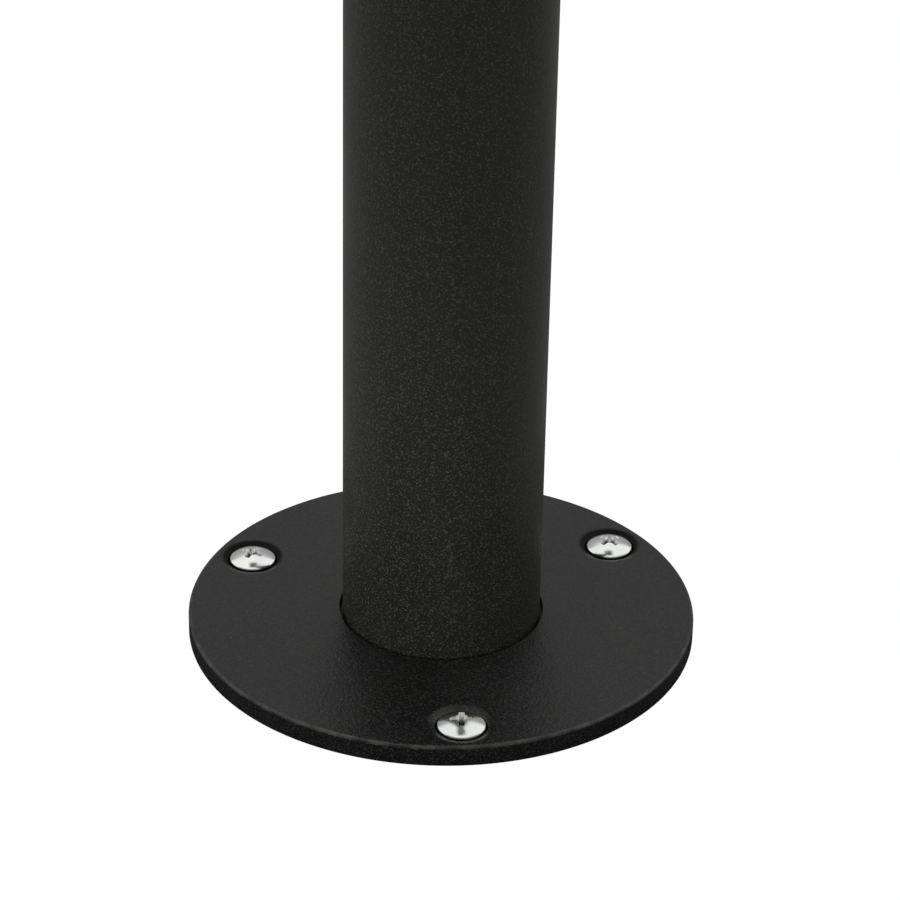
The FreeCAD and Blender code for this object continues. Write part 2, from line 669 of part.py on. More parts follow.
def movement_plate(back, front):
    """A square plate with bevelled corners and the pillars' screw holes."""
    a = PLATE_HALF_SIDE
    b = PLATE_HALF_SIDE - MOVEMENT_CORNER
    corners = [(-a, -b), (-b, -a), (b, -a), (a, -b), (a, b), (b, a), (-b, a), (-a, b)]
    plate = plate_outline(corners, back, front)
    return plate.cut([across(PILLAR_CORE_RADIUS, back - 1, front + 1, x, z) for x, z in pillar_places()])


def movement_front_plate():
    """The front plate with its riveted centre bush and the motion wheel's stud."""
    plate = movement_plate(FRONT_PLATE_BACK, FRONT_PLATE_FRONT)
    shoulder = across(BUSH_SHOULDER_RADIUS, FRONT_PLATE_BACK, DIAL_BACK)
    bush = across(BUSH_RADIUS, FRONT_PLATE_BACK, BUSH_FRONT)
    stud_back = MOTION_WHEEL_BACK - WHEEL_SPACING
    stud = across(STUD_RADIUS, stud_back, FRONT_PLATE_FRONT, 0, MOTION_DISTANCE)
    stud_head = across(STUD_RADIUS * 1.8, stud_back - WHEEL_SPACING, stud_back, 0, MOTION_DISTANCE)
    bore = across(PIPE_RADIUS + RUNNING_GAP, FRONT_PLATE_BACK - 1, BUSH_FRONT + 1)
    return plate.fuse([shoulder, bush, stud, stud_head]).cut(bore).removeSplitter()


def movement_back_plate():
    plate = movement_plate(BACK_PLATE_BACK, BACK_PLATE_FRONT)
    arbor_hole = across(ARBOR_RADIUS + RUNNING_GAP, BACK_PLATE_BACK - 1, BACK_PLATE_FRONT + 1)
    boss_hole = across(MOTOR_BOSS_RADIUS, BACK_PLATE_BACK - 1, BACK_PLATE_FRONT + 1, 0, -DRIVE_DISTANCE)
    return plate.cut([arbor_hole, boss_hole])


def movement_pillars():
    """Four pillars with their screws. The lower two reach back to carry the board."""
    pillars = []
    for x, z in pillar_places():
        core_back = BACK_PLATE_BACK
        pieces = [across(PILLAR_RADIUS, BACK_PLATE_FRONT, FRONT_PLATE_BACK, x, z)]
        if z < 0:
            pieces.append(across(PILLAR_RADIUS, BOARD_FRONT, BACK_PLATE_BACK, x, z))
            core_back = BOARD_BACK
        head_back = core_back - PILLAR_HEAD_HEIGHT / 2
        pieces.append(across(PILLAR_CORE_RADIUS, core_back, FRONT_PLATE_FRONT, x, z))
        pieces.append(across(PILLAR_RADIUS, head_back, core_back, x, z))
        head_front = FRONT_PLATE_FRONT + PILLAR_HEAD_HEIGHT
        pieces.append(across(PILLAR_RADIUS, FRONT_PLATE_FRONT, head_front, x, z))
        pillars.append(pieces[0].fuse(pieces[1:]).removeSplitter())
    return Part.makeCompound(pillars)


def fixing_nut():
    """The hex nut on the dial's front that holds the movement."""
    corner = NUT_ACROSS_FLATS / 2 / math.cos(math.pi / 6)
    corners = []
    for index in range(6):
        angle = math.radians(60 * index)
        corners.append((corner * math.cos(angle), corner * math.sin(angle)))
    nut = plate_outline(corners, DIAL_FRONT, DIAL_FRONT + NUT_THICKNESS)
    return nut.cut(across(BUSH_RADIUS, DIAL_FRONT - 1, BUSH_FRONT + 1))


# ---------------------------------------------------------------- wheels
def tooth_half_angle(radius, pitch_radius, teeth):
    """Half a tooth's angle at a radius, on an involute flank, radial below the base circle."""
    base = pitch_radius * math.cos(math.radians(PRESSURE_DEG))
    pressure = math.acos(min(1.0, base / radius))
    at_pitch = math.radians(PRESSURE_DEG)
    half = math.pi / (2 * teeth) - TOOTH_BACKLASH / (4 * pitch_radius)
    return half + (math.tan(at_pitch) - at_pitch) - (math.tan(pressure) - pressure)


def wheel(module, teeth, back, front, z, first_tooth_deg):
    """A spur wheel at height z from the dial's centre, with a tooth at first_tooth_deg from +X."""
    pitch_radius = module * teeth / 2
    root = pitch_radius - DEDENDUM * module
    tip = pitch_radius + ADDENDUM * module
    flank = [root, (root + pitch_radius) / 2, pitch_radius, (pitch_radius + tip) / 2, tip]
    corners = []
    for index in range(teeth):
        middle = math.radians(first_tooth_deg) + 2 * math.pi * index / teeth
        rising = [(r, middle - tooth_half_angle(r, pitch_radius, teeth)) for r in flank]
        falling = [(r, middle + tooth_half_angle(r, pitch_radius, teeth)) for r in reversed(flank)]
        for radius, angle in rising + falling:
            corners.append((radius * math.cos(angle), z + radius * math.sin(angle)))
    return plate_outline(corners, back, front)


def gap_towards(direction_deg, teeth):
    """The first tooth's angle that puts a gap in a given direction."""
    return direction_deg + 180.0 / teeth


def minute_arbor():
    """The minute arbor with the centre wheel, which the motor turns, and the cannon pinion."""
    arbor = across(ARBOR_RADIUS, BACK_PLATE_BACK - KNOB_LENGTH / 2, MINUTE_HAND_FRONT)
    centre_wheel = wheel(DRIVE_MODULE, CENTRE_TEETH, CENTRE_WHEEL_BACK, CENTRE_WHEEL_FRONT, 0, -90)
    cannon = wheel(MOTION_MODULE, CANNON_TEETH, CANNON_BACK, CANNON_FRONT, 0, 90)
    return arbor.fuse([centre_wheel, cannon])


def motor_pinion():
    first = gap_towards(90, MOTOR_TEETH)
    back = CENTRE_WHEEL_BACK - WHEEL_SPACING / 2
    front = CENTRE_WHEEL_FRONT + WHEEL_SPACING / 2
    pinion = wheel(DRIVE_MODULE, MOTOR_TEETH, back, front, -DRIVE_DISTANCE, first)
    shaft = across(MOTOR_SHAFT_RADIUS, BACK_PLATE_BACK, front, 0, -DRIVE_DISTANCE)
    return pinion.fuse(shaft)


def motion_wheel():
    first = gap_towards(-90, MOTION_TEETH)
    big = wheel(MOTION_MODULE, MOTION_TEETH, MOTION_WHEEL_BACK, MOTION_WHEEL_FRONT, MOTION_DISTANCE, first)
    pinion_front = HOUR_WHEEL_FRONT + WHEEL_SPACING / 2
    small = wheel(HOUR_MODULE, MOTION_PINION_TEETH, MOTION_WHEEL_FRONT, pinion_front, MOTION_DISTANCE, -90)
    bore = across(STUD_RADIUS + RUNNING_GAP, MOTION_WHEEL_BACK - 1, pinion_front + 1, 0, MOTION_DISTANCE)
    return big.fuse(small).cut(bore)


def hour_wheel():
    """The hour wheel and the pipe that carries the hour hand."""
    first = gap_towards(90, HOUR_TEETH)
    disc = wheel(HOUR_MODULE, HOUR_TEETH, HOUR_WHEEL_BACK, HOUR_WHEEL_FRONT, 0, first)
    pipe = across(PIPE_RADIUS, HOUR_WHEEL_BACK, HOUR_HAND_FRONT)
    bore = across(ARBOR_RADIUS + RUNNING_GAP, HOUR_WHEEL_BACK - 1, HOUR_HAND_FRONT + 1)
    return disc.fuse(pipe).cut(bore)


def set_knob():
    """The fluted knob at the back of the arbor, which sets the hands."""
    front = BACK_PLATE_BACK - RUNNING_GAP * 10
    back = front - KNOB_LENGTH
    knob = across(KNOB_RADIUS, back, front)
    flutes = []
    for index in range(KNOB_GRIPS):
        angle = 2 * math.pi * index / KNOB_GRIPS
        flutes.append(across(0.7, back, front, KNOB_RADIUS * math.cos(angle), KNOB_RADIUS * math.sin(angle)))
    socket = across(ARBOR_RADIUS, BACK_PLATE_BACK - KNOB_LENGTH / 2, front + 1)
    return knob.cut(flutes + [socket])


# ---------------------------------------------------------------- motor, board and battery
def motor():
    """A sealed stepping motor with its reduction gear, and two pins that pass into the board."""
    can = across(MOTOR_RADIUS, MOTOR_BACK, BACK_PLATE_BACK, 0, -DRIVE_DISTANCE)
    boss = across(MOTOR_BOSS_RADIUS, MOTOR_BACK, BACK_PLATE_FRONT, 0, -DRIVE_DISTANCE)
    pins = []
    for x in (-MOTOR_PIN_OFFSET, MOTOR_PIN_OFFSET):
        pins.append(across(MOTOR_PIN_RADIUS, BOARD_BACK, MOTOR_BACK, x, -DRIVE_DISTANCE - MOTOR_PIN_OFFSET))
    hole_back = BACK_PLATE_BACK - SHAFT_END_GAP
    shaft_hole = across(
        MOTOR_SHAFT_RADIUS + RUNNING_GAP, hole_back, BACK_PLATE_FRONT + 1, 0, -DRIVE_DISTANCE
    )
    return can.fuse([boss] + pins).cut(shaft_hole)


def board_top():
    return -(KNOB_RADIUS + CELL_NUB_RADIUS)


def driver_board():
    low = board_top() - BOARD_HEIGHT
    board = block(-BOARD_HALF_WIDTH, BOARD_HALF_WIDTH, BOARD_BACK, BOARD_FRONT, low, board_top())
    holes = []
    for x in (-MOTOR_PIN_OFFSET, MOTOR_PIN_OFFSET):
        holes.append(across(MOTOR_PIN_RADIUS, 0, FACE_OUT, x, -DRIVE_DISTANCE - MOTOR_PIN_OFFSET))
    for x, z in pillar_places():
        holes.append(across(PILLAR_CORE_RADIUS, 0, FACE_OUT, x, z))
    return board.cut(holes)


def holder_half_height():
    return CELL_RADIUS + CELL_FIT + HOLDER_WALL


def cell_height():
    return board_top() - BOARD_HEIGHT + holder_half_height()


def cell_out():
    return BOARD_FRONT + HOLDER_FLOOR + CELL_FIT + CELL_RADIUS


def along_x(radius, x0, x1):
    """A cylinder along X on the battery's axis."""
    start = Vector(x0, -cell_out(), DIAL_CENTRE_HEIGHT + cell_height())
    return Part.makeCylinder(radius, x1 - x0, start, Vector(1, 0, 0))


def battery():
    """One AA cell, with its nub to the right."""
    half = (CELL_LENGTH + CELL_NUB_LENGTH) / 2
    return along_x(CELL_RADIUS, -half, half - CELL_NUB_LENGTH).fuse(
        along_x(CELL_NUB_RADIUS, half - CELL_NUB_LENGTH, half)
    )


def battery_holder():
    inner = (CELL_LENGTH + CELL_NUB_LENGTH) / 2 + CELL_FIT
    outer = inner + HOLDER_WALL
    half = holder_half_height()
    middle = cell_height()
    front = cell_out() + CELL_RADIUS / 2
    tray = block(-outer, outer, BOARD_FRONT, front, middle - half, middle + half)
    room = CELL_RADIUS + CELL_FIT
    mouth = block(-inner, inner, cell_out(), front + 1, middle - room, middle + room)
    return tray.cut([along_x(room, -inner, inner), mouth])


# ---------------------------------------------------------------- hands
def hand(length, root_half, shoulder_half, shoulder_at, tip_half, boss, bore, back, front, tail=0.0):
    """A lance-shaped hand that points to twelve, with a round boss and an optional tail."""
    shoulder = length * shoulder_at
    corners = [
        (-root_half, 0),
        (-shoulder_half, shoulder),
        (-tip_half, length),
        (tip_half, length),
        (shoulder_half, shoulder),
        (root_half, 0),
    ]
    if tail:
        corners += [(shoulder_half, -tail), (-shoulder_half, -tail)]
    blade = plate_outline(corners, back, front)
    return blade.fuse(across(boss, back, front)).cut(across(bore, back - 1, front + 1)).removeSplitter()


def hour_hand():
    shape = hand(
        HOUR_HAND_LENGTH, 3.2, 6.0, 0.72, 0.8, HOUR_BOSS_RADIUS, PIPE_RADIUS, HOUR_HAND_BACK, HOUR_HAND_FRONT
    )
    return about_dial(shape, HOUR_HAND_DEG)


def minute_hand():
    shape = hand(
        MINUTE_HAND_LENGTH,
        2.6,
        4.4,
        0.78,
        0.6,
        MINUTE_BOSS_RADIUS,
        ARBOR_RADIUS,
        MINUTE_HAND_BACK,
        MINUTE_HAND_FRONT,
        HAND_TAIL,
    )
    return about_dial(shape, MINUTE_HAND_DEG)


def hand_nut():
    nut = across(HAND_NUT_RADIUS, MINUTE_HAND_FRONT, MINUTE_HAND_FRONT + HAND_NUT_HEIGHT)
    return nut.makeFillet(
        HAND_NUT_HEIGHT / 2, rim_edges(nut, MINUTE_HAND_FRONT + HAND_NUT_HEIGHT, HAND_NUT_RADIUS)
    )


# ---------------------------------------------------------------- assembly
def rear(shape):
    """The rear copy of a front piece: half a turn about the post's axis."""
    copy = shape.copy()
    copy.rotate(ORIGIN, UP, 180)
    return copy


ON_THE_CASE = {
    "base_plate": base_plate,
    "base_screws": base_screws,
    "foot_plug": foot_plug,
    "foot_bolts": foot_bolts,
    "post_tube": post_tube,
    "neck_saddle": neck_saddle,
    "neck_screws": neck_screws,
    "clamp_block": clamp_block,
    "saddle_bolts": saddle_bolts,
    "case_band": case_band,
}

# One of each pair is at the front door and one at the rear door.
PAIRS_ON_THE_CASE = {
    "hinge_leaves": hinge_leaf,
    "hinge_pins": hinge_pin,
    "catch_blocks": catch_block,
    "catch_magnets": catch_magnet,
    "door_seals": door_seal,
}

ON_EACH_DOOR = {
    "bezel": bezel,
    "glass": glass,
    "glass_gasket": glass_gasket,
    "spacer_ring": spacer_ring,
    "dial": dial,
    "dial_screws": dial_screws,
    "movement_front_plate": movement_front_plate,
    "movement_back_plate": movement_back_plate,
    "movement_pillars": movement_pillars,
    "fixing_nut": fixing_nut,
    "motor": motor,
    "driver_board": driver_board,
    "battery_holder": battery_holder,
    "battery": battery,
    "minute_arbor": minute_arbor,
    "set_knob": set_knob,
    "minute_hand": minute_hand,
    "hand_nut": hand_nut,
    "motor_pinion": motor_pinion,
    "motion_wheel": motion_wheel,
    "hour_wheel": hour_wheel,
    "hour_hand": hour_hand,
}

os.makedirs("parts", exist_ok=True)
for name, make in ON_THE_CASE.items():
    make().exportStep(f"parts/{name}.step")
for name, make in PAIRS_ON_THE_CASE.items():
    piece = make()
    Part.makeCompound([piece, rear(piece)]).exportStep(f"parts/{name}.step")
for name, make in ON_EACH_DOOR.items():
    piece = make()
    piece.exportStep(f"parts/front_{name}.step")
    rear(piece).exportStep(f"parts/rear_{name}.step")
print("parts written:", len(os.listdir("parts")))
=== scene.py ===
import json
import math

import bmesh
import bpy
from mathutils import Matrix, Vector

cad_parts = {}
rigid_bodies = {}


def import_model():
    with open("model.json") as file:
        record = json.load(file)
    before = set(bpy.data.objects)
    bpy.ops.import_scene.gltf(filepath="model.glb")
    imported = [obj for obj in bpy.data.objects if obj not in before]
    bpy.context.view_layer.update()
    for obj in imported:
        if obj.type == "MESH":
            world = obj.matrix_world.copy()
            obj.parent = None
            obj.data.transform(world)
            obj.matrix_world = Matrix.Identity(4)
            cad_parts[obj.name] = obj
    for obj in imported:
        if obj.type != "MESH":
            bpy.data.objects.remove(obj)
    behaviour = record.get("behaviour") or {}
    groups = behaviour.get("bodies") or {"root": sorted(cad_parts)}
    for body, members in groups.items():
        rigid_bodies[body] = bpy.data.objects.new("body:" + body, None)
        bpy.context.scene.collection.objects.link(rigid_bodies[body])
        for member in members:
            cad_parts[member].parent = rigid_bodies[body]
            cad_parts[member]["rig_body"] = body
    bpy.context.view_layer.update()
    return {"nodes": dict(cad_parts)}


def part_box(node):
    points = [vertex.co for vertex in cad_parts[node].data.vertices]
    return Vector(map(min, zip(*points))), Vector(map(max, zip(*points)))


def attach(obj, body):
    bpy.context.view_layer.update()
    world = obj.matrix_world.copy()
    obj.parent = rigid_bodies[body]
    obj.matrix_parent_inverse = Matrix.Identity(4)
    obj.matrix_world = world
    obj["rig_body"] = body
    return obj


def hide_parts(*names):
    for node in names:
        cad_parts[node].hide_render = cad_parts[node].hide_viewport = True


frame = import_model()
nodes = frame["nodes"]
MM = 0.001

# ------------------------------------------------------------------ studio
# A pale floor under an even tent of light. The tent is brightest overhead and dimmer at the horizon,
# so the black coat keeps soft, quiet reflections. Bright cards stand at the sides and a dark one lies
# above the foot, for what its polished screws reflect. A dark card just round the foot, seen only in
# reflections, is a painted shadow on the floor there.
PLATE_LOW, PLATE_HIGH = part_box("base_plate")
TARGET = Vector((0, 0, PLATE_HIGH.z))
CAMERA_DISTANCE = 0.8334
CAMERA_AZIMUTH = math.radians(-5.69)
CAMERA_ELEVATION = math.radians(31.7)
LOOK_DOWN = math.radians(28.99)
LOOK_ASIDE = math.radians(0.1225)
CAMERA_ROLL = math.radians(1.048)

camera_data = bpy.data.cameras.new("street_view_camera")
camera_data.lens = 131.1
camera_data.sensor_width = 36.0
camera_data.clip_start = 0.01
camera_data.clip_end = 60.0
camera = bpy.data.objects.new("street_view_camera", camera_data)
bpy.context.scene.collection.objects.link(camera)
out_flat = math.cos(CAMERA_ELEVATION)
camera_place = TARGET + CAMERA_DISTANCE * Vector(
    (math.sin(CAMERA_AZIMUTH) * out_flat, -math.cos(CAMERA_AZIMUTH) * out_flat, math.sin(CAMERA_ELEVATION))
)
camera.matrix_world = (
    Matrix.Translation(camera_place)
    @ Matrix.Rotation(CAMERA_AZIMUTH - LOOK_ASIDE, 4, "Z")
    @ Matrix.Rotation(math.pi / 2 - LOOK_DOWN, 4, "X")
    @ Matrix.Rotation(CAMERA_ROLL, 4, "Z")
)
bpy.context.scene.camera = camera
bpy.context.scene.view_settings.view_transform = "Standard"

world = bpy.data.worlds.new("light_tent")
bpy.context.scene.world = world
world.use_nodes = True
wn, wl = world.node_tree.nodes, world.node_tree.links
wn.clear()
tent_place = wn.new("ShaderNodeTexCoord")
tent_height = wn.new("ShaderNodeSeparateXYZ")
tent_ramp = wn.new("ShaderNodeValToRGB")
tent_light = wn.new("ShaderNodeBackground")
backdrop = wn.new("ShaderNodeBackground")
seen = wn.new("ShaderNodeLightPath")
choose = wn.new("ShaderNodeMixShader")
world_out = wn.new("ShaderNodeOutputWorld")
half_up = wn.new("ShaderNodeMath")
half_up.operation = "MULTIPLY_ADD"
half_up.inputs[1].default_value = 0.5
half_up.inputs[2].default_value = 0.5
backdrop.inputs["Color"].default_value = (1, 1, 1, 1)
ramp = tent_ramp.color_ramp
TENT = ((0.0, 0.30), (0.45, 0.34), (0.62, 0.30), (0.78, 0.40), (0.9, 0.85), (1.0, 0.95))
ramp.elements[0].position = TENT[0][0]
ramp.elements[1].position = TENT[-1][0]
for position, level in TENT[1:-1]:
    ramp.elements.new(position)
for element, (position, level) in zip(ramp.elements, TENT):
    element.color = (level, level, level * 0.99, 1)
wl.new(tent_place.outputs["Generated"], tent_height.inputs[0])
wl.new(tent_height.outputs["Z"], half_up.inputs[0])
wl.new(half_up.outputs[0], tent_ramp.inputs[0])
wl.new(tent_ramp.outputs[0], tent_light.inputs["Color"])
tent_side = wn.new("ShaderNodeMath")
tent_side.operation = "MULTIPLY_ADD"
tent_side.inputs[1].default_value = -0.12
tent_side.inputs[2].default_value = 1.03
wl.new(tent_height.outputs["X"], tent_side.inputs[0])
wl.new(tent_side.outputs[0], tent_light.inputs["Strength"])
wl.new(seen.outputs["Is Camera Ray"], choose.inputs[0])
wl.new(tent_light.outputs[0], choose.inputs[1])
wl.new(backdrop.outputs[0], choose.inputs[2])
wl.new(choose.outputs[0], world_out.inputs[0])


def studio_plane(name, size, place, turn=(0, 0, 0)):
    """A flat square that belongs to the studio."""
    bpy.ops.mesh.primitive_plane_add(size=size, location=place, rotation=turn)
    plane = bpy.context.object
    plane.name = name
    return plane


def soft_lamp(name, place, aim, size, power, spread=180):
    """A square soft box that faces a point, with its light kept within a spread in degrees."""
    lamp_data = bpy.data.lights.new(name, "AREA")
    lamp_data.spread = math.radians(spread)
    lamp_data.size = size
    lamp_data.energy = power
    lamp = bpy.data.objects.new(name, lamp_data)
    lamp.location = place
    lamp.rotation_euler = (Vector(aim) - Vector(place)).to_track_quat("-Z", "Y").to_euler()
    lamp.visible_glossy = False
    bpy.context.scene.collection.objects.link(lamp)


floor = studio_plane("pale_floor", 40, (0, 0, PLATE_LOW.z - 0.0002))
floor_mat = bpy.data.materials.new("pale_floor")
floor_mat.use_nodes = True
fn, fl = floor_mat.node_tree.nodes, floor_mat.node_tree.links
floor_paint = fn["Principled BSDF"]
floor_paint.inputs["Base Color"].default_value = (0.9, 0.9, 0.9, 1)
floor_paint.inputs["Roughness"].default_value = 1.0
floor_paint.inputs["Specular IOR Level"].default_value = 0.0
floor_glow = fn.new("ShaderNodeEmission")
floor_mix = fn.new("ShaderNodeMixShader")
floor_mix.inputs[0].default_value = 0.94
fl.new(floor_paint.outputs[0], floor_mix.inputs[1])
fl.new(floor_glow.outputs[0], floor_mix.inputs[2])
fl.new(floor_mix.outputs[0], fn["Material Output"].inputs[0])
floor.data.materials.append(floor_mat)
floor_glow.inputs["Strength"].default_value = 1.04
floor.visible_glossy = False
floor.visible_diffuse = False

# Painted shadow: a dark card just round the foot, seen only in reflections, for the floor's contact shadow.
shade = studio_plane("painted_floor_shadow_card", 0.156, (0, 0, PLATE_LOW.z - 0.0001))

card = studio_plane("dark_card", 0.8, (0, 0, 2.4))
card_mat = bpy.data.materials.new("dark_card")
card_mat.use_nodes = True
card_mat.node_tree.nodes["Principled BSDF"].inputs["Base Color"].default_value = (0.01, 0.01, 0.01, 1)
for hidden in (card, shade):
    hidden.data.materials.append(card_mat)
    hidden.visible_camera = False
    hidden.visible_diffuse = False
    hidden.visible_shadow = False

glow_mat = bpy.data.materials.new("bright_card")
glow_mat.use_nodes = True
card_glow = glow_mat.node_tree.nodes.new("ShaderNodeEmission")
card_glow.inputs["Strength"].default_value = 0.92
glow_mat.node_tree.links.new(card_glow.outputs[0], glow_mat.node_tree.nodes["Material Output"].inputs[0])
for side, across in (("left", -1.6), ("right", 1.6)):
    place = Vector((across, 0.5, 1.2))
    bright = studio_plane(f"{side}_bright_card", 2.1, place, place.to_track_quat("Z", "Y").to_euler())
    bright.data.materials.append(glow_mat)
    bright.visible_camera = False
    bright.visible_diffuse = False
    bright.visible_shadow = False

soft_lamp("left_soft_box", (-1.9, -0.9, 2.3), (0, 0, 0.6), 1.4, 14)
soft_lamp("right_soft_box", (2.1, 0.5, 2.0), (0, 0, 0.6), 1.4, 9)
soft_lamp("foot_lamp", (-0.19, -0.33, 0.03), (0, 0, 0.01), 0.1, 0.062, 50)
soft_lamp("front_dial_lamp", (-0.5, -2.0, 2.2), (0, 0, 1.43), 0.9, 2.5, 40)
soft_lamp("rear_dial_lamp", (0.5, 2.0, 2.2), (0, 0, 1.43), 0.9, 2.5, 40)

# ------------------------------------------------------------------ black powder coat
# Every black metal piece is coated in one batch: a thin, slightly orange-peeled powder with a fine
# sandy grain, a little dust on what faces up, and paler wear where an edge has been rubbed.


def effect_group(name, inputs, outputs):
    """An empty node group with named float inputs and named outputs."""
    group = bpy.data.node_groups.new(name, "ShaderNodeTree")
    for label, value in inputs:
        socket = group.interface.new_socket(label, in_out="INPUT", socket_type="NodeSocketFloat")
        socket.default_value = value
    for label in outputs:
        group.interface.new_socket(label, in_out="OUTPUT", socket_type="NodeSocketFloat")
    start = group.nodes.new("NodeGroupInput")
    end = group.nodes.new("NodeGroupOutput")
    return group, start, end


def noise(tree, place, scale, detail):
    """A noise texture that reads a place, at a scale that is a number or a socket."""
    node = tree.nodes.new("ShaderNodeTexNoise")
    if isinstance(scale, (int, float)):
        node.inputs["Scale"].default_value = scale
    else:
        tree.links.new(scale, node.inputs["Scale"])
    node.inputs["Detail"].default_value = detail
    tree.links.new(place, node.inputs["Vector"])
    return node


def maths(tree, operation, a, b, c=None):
    """A math node on sockets or numbers."""
    node = tree.nodes.new("ShaderNodeMath")
    node.operation = operation
    for index, value in enumerate((a, b, c)):
        if value is None:
            continue
        if isinstance(value, (int, float)):
            node.inputs[index].default_value = value
        else:
            tree.links.new(value, node.inputs[index])
    return node.outputs[0]


def band_of(tree, value, low, high, to_low=0.0, to_high=1.0):
    """A smooth step of a value from one range to another."""
    node = tree.nodes.new("ShaderNodeMapRange")
    node.interpolation_type = "SMOOTHSTEP"
    tree.links.new(value, node.inputs["Value"])
    for label, number in zip(("From Min", "From Max", "To Min", "To Max"), (low, high, to_low, to_high)):
        node.inputs[label].default_value = number
    return node.outputs["Result"]


def grain_group():
    """Sandy grain: fine speckles, a broad unevenness and a height, all from the object's own place."""
    group, start, end = effect_group("sandy_grain", [("Grain Scale", 1500.0)], ["Speckle", "Cloud", "Height"])
    place = group.nodes.new("ShaderNodeTexCoord").outputs["Object"]
    fine = noise(group, place, start.outputs["Grain Scale"], 2.0).outputs["Fac"]
    half_scale = maths(group, "MULTIPLY", start.outputs["Grain Scale"], 0.42)
    coarse = noise(group, place, half_scale, 2.0).outputs["Fac"]
    cloud = noise(group, place, 22.0, 4.0).outputs["Fac"]
    height = maths(group, "MULTIPLY_ADD", coarse, 0.7, fine)
    group.links.new(band_of(group, fine, 0.50, 0.70), end.inputs["Speckle"])
    group.links.new(band_of(group, cloud, 0.35, 0.65), end.inputs["Cloud"])
    group.links.new(height, end.inputs["Height"])
    return group


def dust_group():
    """Dust: a mask that settles in patches on what faces up."""
    group, start, end = effect_group("settled_dust", [("Amount", 0.5)], ["Mask"])
    place = group.nodes.new("ShaderNodeTexCoord").outputs["Object"]
    facing = group.nodes.new("ShaderNodeNewGeometry").outputs["Normal"]
    up = group.nodes.new("ShaderNodeSeparateXYZ")
    group.links.new(facing, up.inputs[0])
    level = band_of(group, up.outputs["Z"], 0.2, 0.95)
    patches = noise(group, place, 60.0, 6.0).outputs["Fac"]
    flecks = noise(group, place, 2300.0, 1.0).outputs["Fac"]
    spread = maths(group, "MULTIPLY", band_of(group, patches, 0.4, 0.75), band_of(group, flecks, 0.55, 0.75))
    lying = maths(group, "MULTIPLY", spread, level)
    group.links.new(maths(group, "MULTIPLY", lying, start.outputs["Amount"]), end.inputs["Mask"])
    return group


def wear_group():
    """Edge wear: the mesh's own edge mark, broken up so that it comes and goes."""
    group, start, end = effect_group("edge_wear", [("Spread", 240.0)], ["Mask"])
    place = group.nodes.new("ShaderNodeTexCoord").outputs["Object"]
    mark = group.nodes.new("ShaderNodeAttribute")
    mark.attribute_name = "edge"
    rubbed = noise(group, place, start.outputs["Spread"], 5.0).outputs["Fac"]
    broken = maths(group, "MULTIPLY", mark.outputs["Fac"], band_of(group, rubbed, 0.38, 0.68))
    group.links.new(broken, end.inputs["Mask"])
    return group


GRAIN = grain_group()
DUST = dust_group()
WEAR = wear_group()


def effect(mat, group, **values):
    """One shared effect placed in a material with its own values."""
    node = mat.node_tree.nodes.new("ShaderNodeGroup")
    node.node_tree = group
    for label, value in values.items():
        node.inputs[label.replace("_", " ")].default_value = value
    return node


def blend_colour(mat, mask, under, over):
    """A colour that goes from one to another by a mask. Either may be a socket or three numbers."""
    node = mat.node_tree.nodes.new("ShaderNodeMix")
    node.data_type = "RGBA"
    mat.node_tree.links.new(mask, node.inputs["Factor"])
    for label, colour in (("A", under), ("B", over)):
        socket = [s for s in node.inputs if s.name == label and s.type == "RGBA"][0]
        if isinstance(colour, tuple):
            socket.default_value = colour + (1,)
        else:
            mat.node_tree.links.new(colour, socket)
    return [s for s in node.outputs if s.type == "RGBA"][0]


def bump(mat, height, strength, distance):
    """A bump on the material's shader from a height."""
    node = mat.node_tree.nodes.new("ShaderNodeBump")
    node.inputs["Strength"].default_value = strength
    node.inputs["Distance"].default_value = distance
    mat.node_tree.links.new(height, node.inputs["Height"])
    mat.node_tree.links.new(node.outputs[0], mat.node_tree.nodes["Principled BSDF"].inputs["Normal"])


def new_material(name, metallic=0.0, **sockets):
    """A material whose constant values are set on the shader itself."""
    mat = bpy.data.materials.new(name)
    mat.use_nodes = True
    shader = mat.node_tree.nodes["Principled BSDF"]
    shader.inputs["Metallic"].default_value = metallic
    for label, value in sockets.items():
        shader.inputs[label.replace("_", " ")].default_value = value
    return mat, shader


def powder_coat(name, dark, light, rough_low, rough_high, gloss, dust=0.5):
    """A powder coat of two close tones, with pale specks of grain, rubbed edges and settled dust."""
    mat, shader = new_material(name, Specular_IOR_Level=gloss)
    tree = mat.node_tree
    grain = effect(mat, GRAIN, Grain_Scale=2100.0)
    settled = effect(mat, DUST, Amount=dust)
    worn = effect(mat, WEAR, Spread=260.0)
    coat = blend_colour(mat, grain.outputs["Cloud"], dark, light)
    speckled = blend_colour(mat, grain.outputs["Speckle"], coat, tuple(4.2 * c for c in light))
    rubbed = blend_colour(mat, worn.outputs["Mask"], speckled, (0.035, 0.035, 0.033))
    dusty = blend_colour(mat, settled.outputs["Mask"], rubbed, (0.10, 0.098, 0.09))
    tree.links.new(dusty, shader.inputs["Base Color"])
    rough = band_of(tree, grain.outputs["Cloud"], 0.0, 1.0, rough_low, rough_high)
    rougher = maths(tree, "MULTIPLY_ADD", grain.outputs["Speckle"], 0.08, rough)
    dulled = maths(tree, "MULTIPLY_ADD", settled.outputs["Mask"], 0.25, rougher)
    tree.links.new(dulled, shader.inputs["Roughness"])
    bump(mat, grain.outputs["Height"], 1.0, 0.00012)
    return mat


BLACK_COAT = powder_coat(
    "black_powder_coat", (0.0088, 0.0091, 0.0078), (0.0112, 0.0114, 0.0100), 0.42, 0.5, 0.34
)

